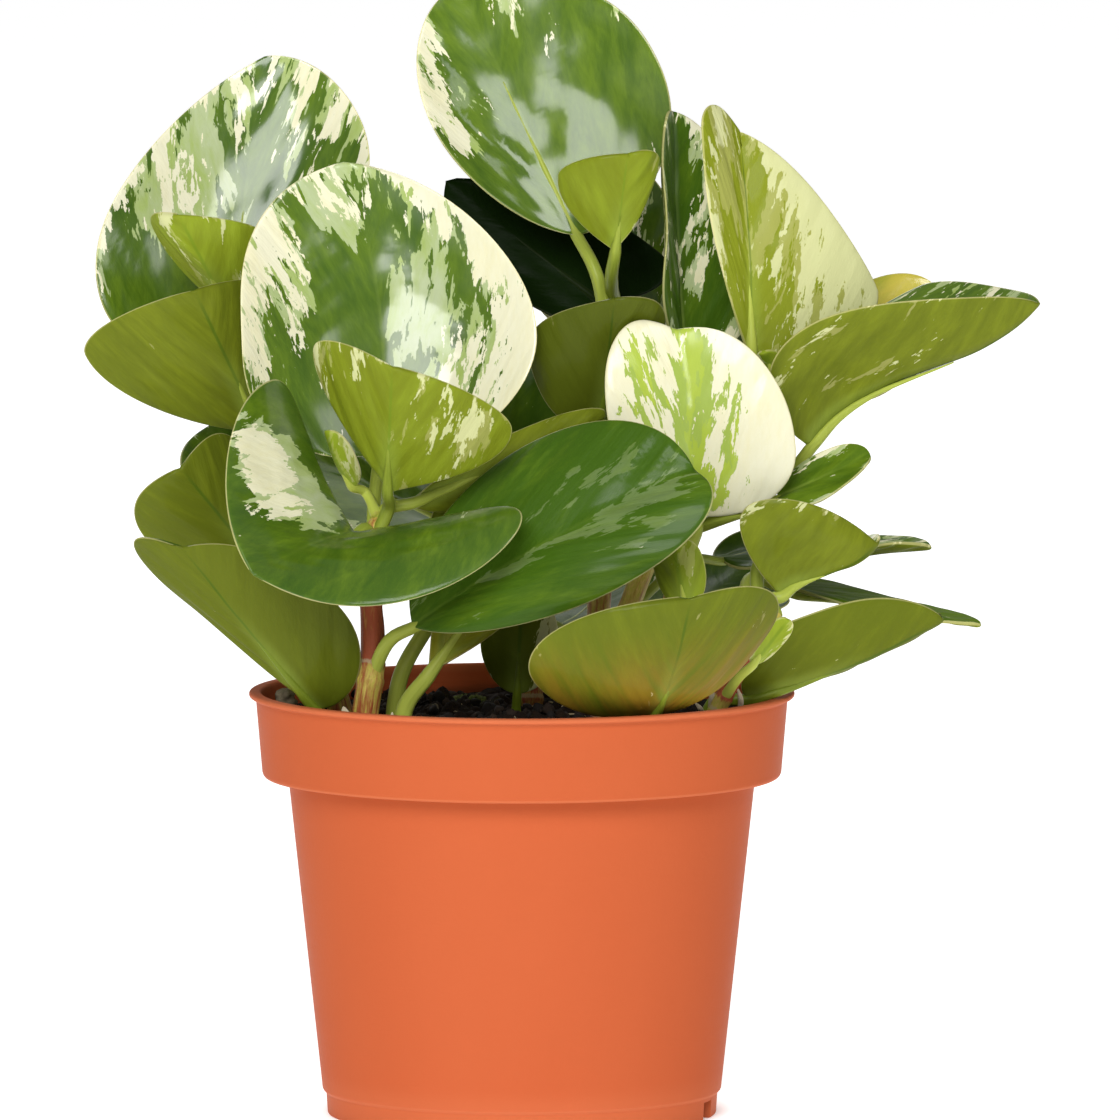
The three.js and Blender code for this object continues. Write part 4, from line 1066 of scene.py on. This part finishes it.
class PEPEROMIA_OT_dry_bits(bpy.types.Operator):
    """Makes the old stem base and the papery scales at the foot of the stems"""
    bl_idname = "peperomia.dry_bits"
    bl_label = "Make the old base and scales"

    def execute(self, context):
        # The old base: a short gnarled tube
        steps, sides = 24, 20
        path, run = smooth_path([(-50.5, -7, 84), (-51, -8, 89), (-52.2, -9.5, 94.5)], steps)
        angle = np.linspace(0, 2 * math.pi, sides, endpoint=False)
        gnarls = waves(run[:, None] * 1.6, angle * 3 + 0 * run[:, None], 3.0, 41)
        radius = (2.4 - 0.035 * run)[:, None] * (1 + 0.13 * gnarls)
        radius[-1] *= 0.6
        skins = [tube_skin(path, radius, sides, {"kind": np.full((steps, sides), 0.35)})]
        # Scales, each a flat tube that narrows to its tip: foot, tip, half the width, and how pale
        scales = (((41.2, -26.5, 92.5), (41.0, -28.5, 98.0), 0.75, 0.95),
                  ((47.6, -25.5, 91.5), (47.1, -27.6, 97.0), 0.7, 0.95),
                  ((39.3, -27.0, 91.0), (37.8, -28.6, 93.8), 0.6, 0.95),
                  ((-38.6, -29.4, 87.5), (-38.9, -31.0, 93.2), 1.5, 0.8),
                  ((-29.5, -30.0, 88.0), (-28.2, -31.6, 92.0), 0.8, 0.95))
        steps, sides = 16, 14
        for foot, tip, wide, kind in scales:
            foot, tip = np.array(foot), np.array(tip)
            middle = (foot + tip) / 2 + (0.5, -0.7, 0)
            path, run = smooth_path([foot, middle, tip], steps)
            share = run / run[-1]
            thin = wide * np.sqrt(np.maximum(0.003, 1 - share**2.4))
            thin = thin * (0.7 + 0.3 * np.sin(math.pi * share))
            skins.append(tube_skin(path, thin, sides, {"kind": np.full((steps, sides), kind)},
                                   up=(0, 1, 0), flat=0.28))
        dry = litter_finish("dry scales", (0.10, 0.075, 0.035), (0.56, 0.48, 0.33), 0.8)
        make_piece("dry_scales", skins, [dry])
        return {"FINISHED"}


class PEPEROMIA_OT_stems(bpy.types.Operator):
    """Makes the stems with their joints and leaf scars"""
    bl_idname = "peperomia.stems"
    bl_label = "Make the stems"

    def execute(self, context):
        stems = context.scene.peperomia.stems
        skin = stem_finish(stems)
        steps, sides = 150, 32
        angle = np.linspace(0, 2 * math.pi, sides, endpoint=False)
        for seed, (name, stem) in enumerate(STEMS.items()):
            path, run = smooth_path(stem["path"], steps)
            share = run / run[-1]
            # The radius swells as a bell at each joint, has a fine groove above it and closes at
            # the tip. Five low ribs and a little unevenness run along the stem.
            radius = np.interp(share, [0, 1], stem["radius"])
            joints = [leaf["at"] for leaf in LEAVES.values() if leaf.get("stem") == name]
            joints = [at for at in (*joints, *stem["joints"]) if at < 0.97]
            ring = sum(bell(run - at * run[-1], 1.3) for at in joints)
            line = sum(bell(run - at * run[-1] - 0.7, 0.35) for at in joints)
            radius = radius + stems.swelling / MM * np.minimum(ring, 1.3)
            radius = radius - 0.12 * np.minimum(line, 1)
            tip = np.clip((share - 0.965) / 0.035, 0, 1)
            radius = radius * np.sqrt(np.maximum(0.02, 1 - tip**2.2))
            shape = 1 + 0.025 * np.cos(5 * angle + 0.05 * run[:, None]) + 0.02 * waves(
                run[:, None] * 0.6, 4 * np.sin(angle) + 0 * run[:, None], 6, 50 + seed)
            marks = np.array(stem["blush"], float)
            blush = np.interp(path[:, 2], marks[:, 0], marks[:, 1])
            dry = sum(bell(run - at * run[-1] - 0.5, 0.7) for at in stem["joints"])
            values = {"blush": np.broadcast_to(blush[:, None], (steps, sides)),
                      "ring": np.broadcast_to(dry[:, None], (steps, sides))}
            make_piece(f"{name}_stem", [tube_skin(path, radius[:, None] * shape, sides, values)],
                       [skin], [f"stem_{name}"])
        return {"FINISHED"}


class PEPEROMIA_OT_leaves(bpy.types.Operator):
    """Makes every leaf: its blade, stalk and keel"""
    bl_idname = "peperomia.leaves"
    bl_label = "Make the leaves"

    def execute(self, context):
        plant = context.scene.peperomia
        tints = plant.leaves
        grown = leaf_finish("grown leaf", tints, tints.deep, tints.fresh,
                            tints.olive, (0.195, 0.232, 0.013))
        young = leaf_finish("young leaf", tints, tints.fresh, tints.young,
                            (0.150, 0.182, 0.009), tints.young)
        golden = leaf_finish("yellowing leaf", tints, tints.young, (0.50, 0.42, 0.05),
                             (0.36, 0.33, 0.03), (0.58, 0.46, 0.06))
        stalk = stalk_finish(plant.stems)
        for seed, (name, row) in enumerate(LEAVES.items()):
            leaf = {**USUAL_LEAF, **row}
            leaf.update({key: np.broadcast_to(leaf[key], 2) for key in WING_KEYS})
            look = {**USUAL_LOOK, **LOOKS.get(name, {})}
            skin = young if leaf["tone"] == "young" else grown
            skin = golden if name == "right_yellow" else skin
            skins = [blade_skin(leaf, look, tints, seed + 1), stalk_skin(leaf, look)]
            make_piece(f"{name}_leaf", skins, [skin, stalk],
                       [f"leaf_{name}"])
        return {"FINISHED"}


class PEPEROMIA_OT_stage(bpy.types.Operator):
    """Makes the floor, the studio light and the camera"""
    bl_idname = "peperomia.stage"
    bl_label = "Set the stage"

    def execute(self, context):
        stage = context.scene.peperomia.stage
        scene = context.scene
        mesh = bpy.data.meshes.new("studio_floor")
        far = 40
        mesh.from_pydata([(-far, -far, 0), (far, -far, 0), (far, far, 0), (-far, far, 0)], [],
                         [(0, 1, 2, 3)])
        floor = bpy.data.objects.new("studio_floor", mesh)
        scene.collection.objects.link(floor)
        f = Finish("studio floor", roughness=0.9, specular_ior_level=0.1,
                   emission_strength=stage.glow)
        x, y, _ = f.place()
        cloud = f.noise(f.at(x * 3.0, y * 3.0), 2.0, 0.5)
        # Painted shadow: the floor gives off no light under the pot and fades in round its foot
        shaded = 1.0 - ((x * x + y * y) ** 0.5).step(0.036, 0.050)
        mesh.materials.append(f.dress(
            base_color=f.mix(cloud.step(-2, 2) * 0.05, stage.floor, (0.85, 0.85, 0.85)),
            emission_color=f.mix(shaded, (1, 1, 1), (0, 0, 0))))

        world = bpy.data.worlds.new("room light")
        scene.world = world
        world.use_nodes = True
        sky = world.node_tree.nodes["Background"]
        sky.inputs["Color"].default_value = (1, 1, 1, 1)
        sky.inputs["Strength"].default_value = stage.air

        for name, power, size, place in (("key_light", stage.key, 1.0, (-0.35, -1.7, 1.05)),
                                         ("fill_light", stage.fill, 0.6, (0.85, -1.25, 1.1)),
                                         ("back_light", stage.back, 1.4, (-0.5, 1.7, 1.3))):
            lamp = bpy.data.lights.new(name, "AREA")
            lamp.shape, lamp.size, lamp.energy = "DISK", size, power
            light = bpy.data.objects.new(name, lamp)
            light.location = place
            aim = Vector((0, 0, 0.14)) - light.location
            light.rotation_euler = aim.to_track_quat("-Z", "Y").to_euler()
            scene.collection.objects.link(light)

        camera = bpy.data.objects.new("camera", bpy.data.cameras.new("camera"))
        camera.data.sensor_width, camera.data.lens = 36.0, 585.0
        camera.data.clip_start, camera.data.clip_end = 0.1, 100.0
        tilt, away = math.radians(5.64), 4.0
        target = Vector((0.0084, 0.0, 0.1222))
        camera.location = target + away * Vector((0, -math.cos(tilt), math.sin(tilt)))
        camera.rotation_euler = (math.pi / 2 - tilt, 0, 0)
        scene.collection.objects.link(camera)
        scene.camera = camera
        scene.view_settings.view_transform = "Standard"
        return {"FINISHED"}


class PEPEROMIA_PT_panel(bpy.types.Panel):
    bl_label = "Peperomia"
    bl_idname = "PEPEROMIA_PT_panel"
    bl_space_type = "VIEW_3D"
    bl_region_type = "UI"
    bl_category = "Peperomia"

    def draw(self, context):
        plant = context.scene.peperomia
        for group, operators in STEPS:
            box = self.layout.box()
            settings = getattr(plant, group)
            for key in settings.bl_rna.properties.keys():
                if key not in {"rna_type", "name"}:
                    box.prop(settings, key)
            for operator in operators:
                box.operator(operator)


STEPS = (
    ("pot", ("peperomia.pot",)),
    ("soil", ("peperomia.soil", "peperomia.litter")),
    ("stems", ("peperomia.stems", "peperomia.dry_bits")),
    ("leaves", ("peperomia.leaves",)),
    ("stage", ("peperomia.stage",)),
)
CLASSES = (PotSettings, LeafSettings, StemSettings, SoilSettings, StageSettings, PlantSettings,
           PEPEROMIA_OT_pot, PEPEROMIA_OT_soil, PEPEROMIA_OT_litter, PEPEROMIA_OT_stems,
           PEPEROMIA_OT_dry_bits, PEPEROMIA_OT_leaves, PEPEROMIA_OT_stage, PEPEROMIA_PT_panel)


def register():
    for cls in CLASSES:
        bpy.utils.register_class(cls)
    bpy.types.Scene.peperomia = PointerProperty(type=PlantSettings)


def unregister():
    del bpy.types.Scene.peperomia
    for cls in reversed(CLASSES):
        bpy.utils.unregister_class(cls)


def main():
    register()
    for _, operators in STEPS:
        for operator in operators:
            group, name = operator.split(".")
            getattr(getattr(bpy.ops, group), name)()


if __name__ == "__main__":
    main()
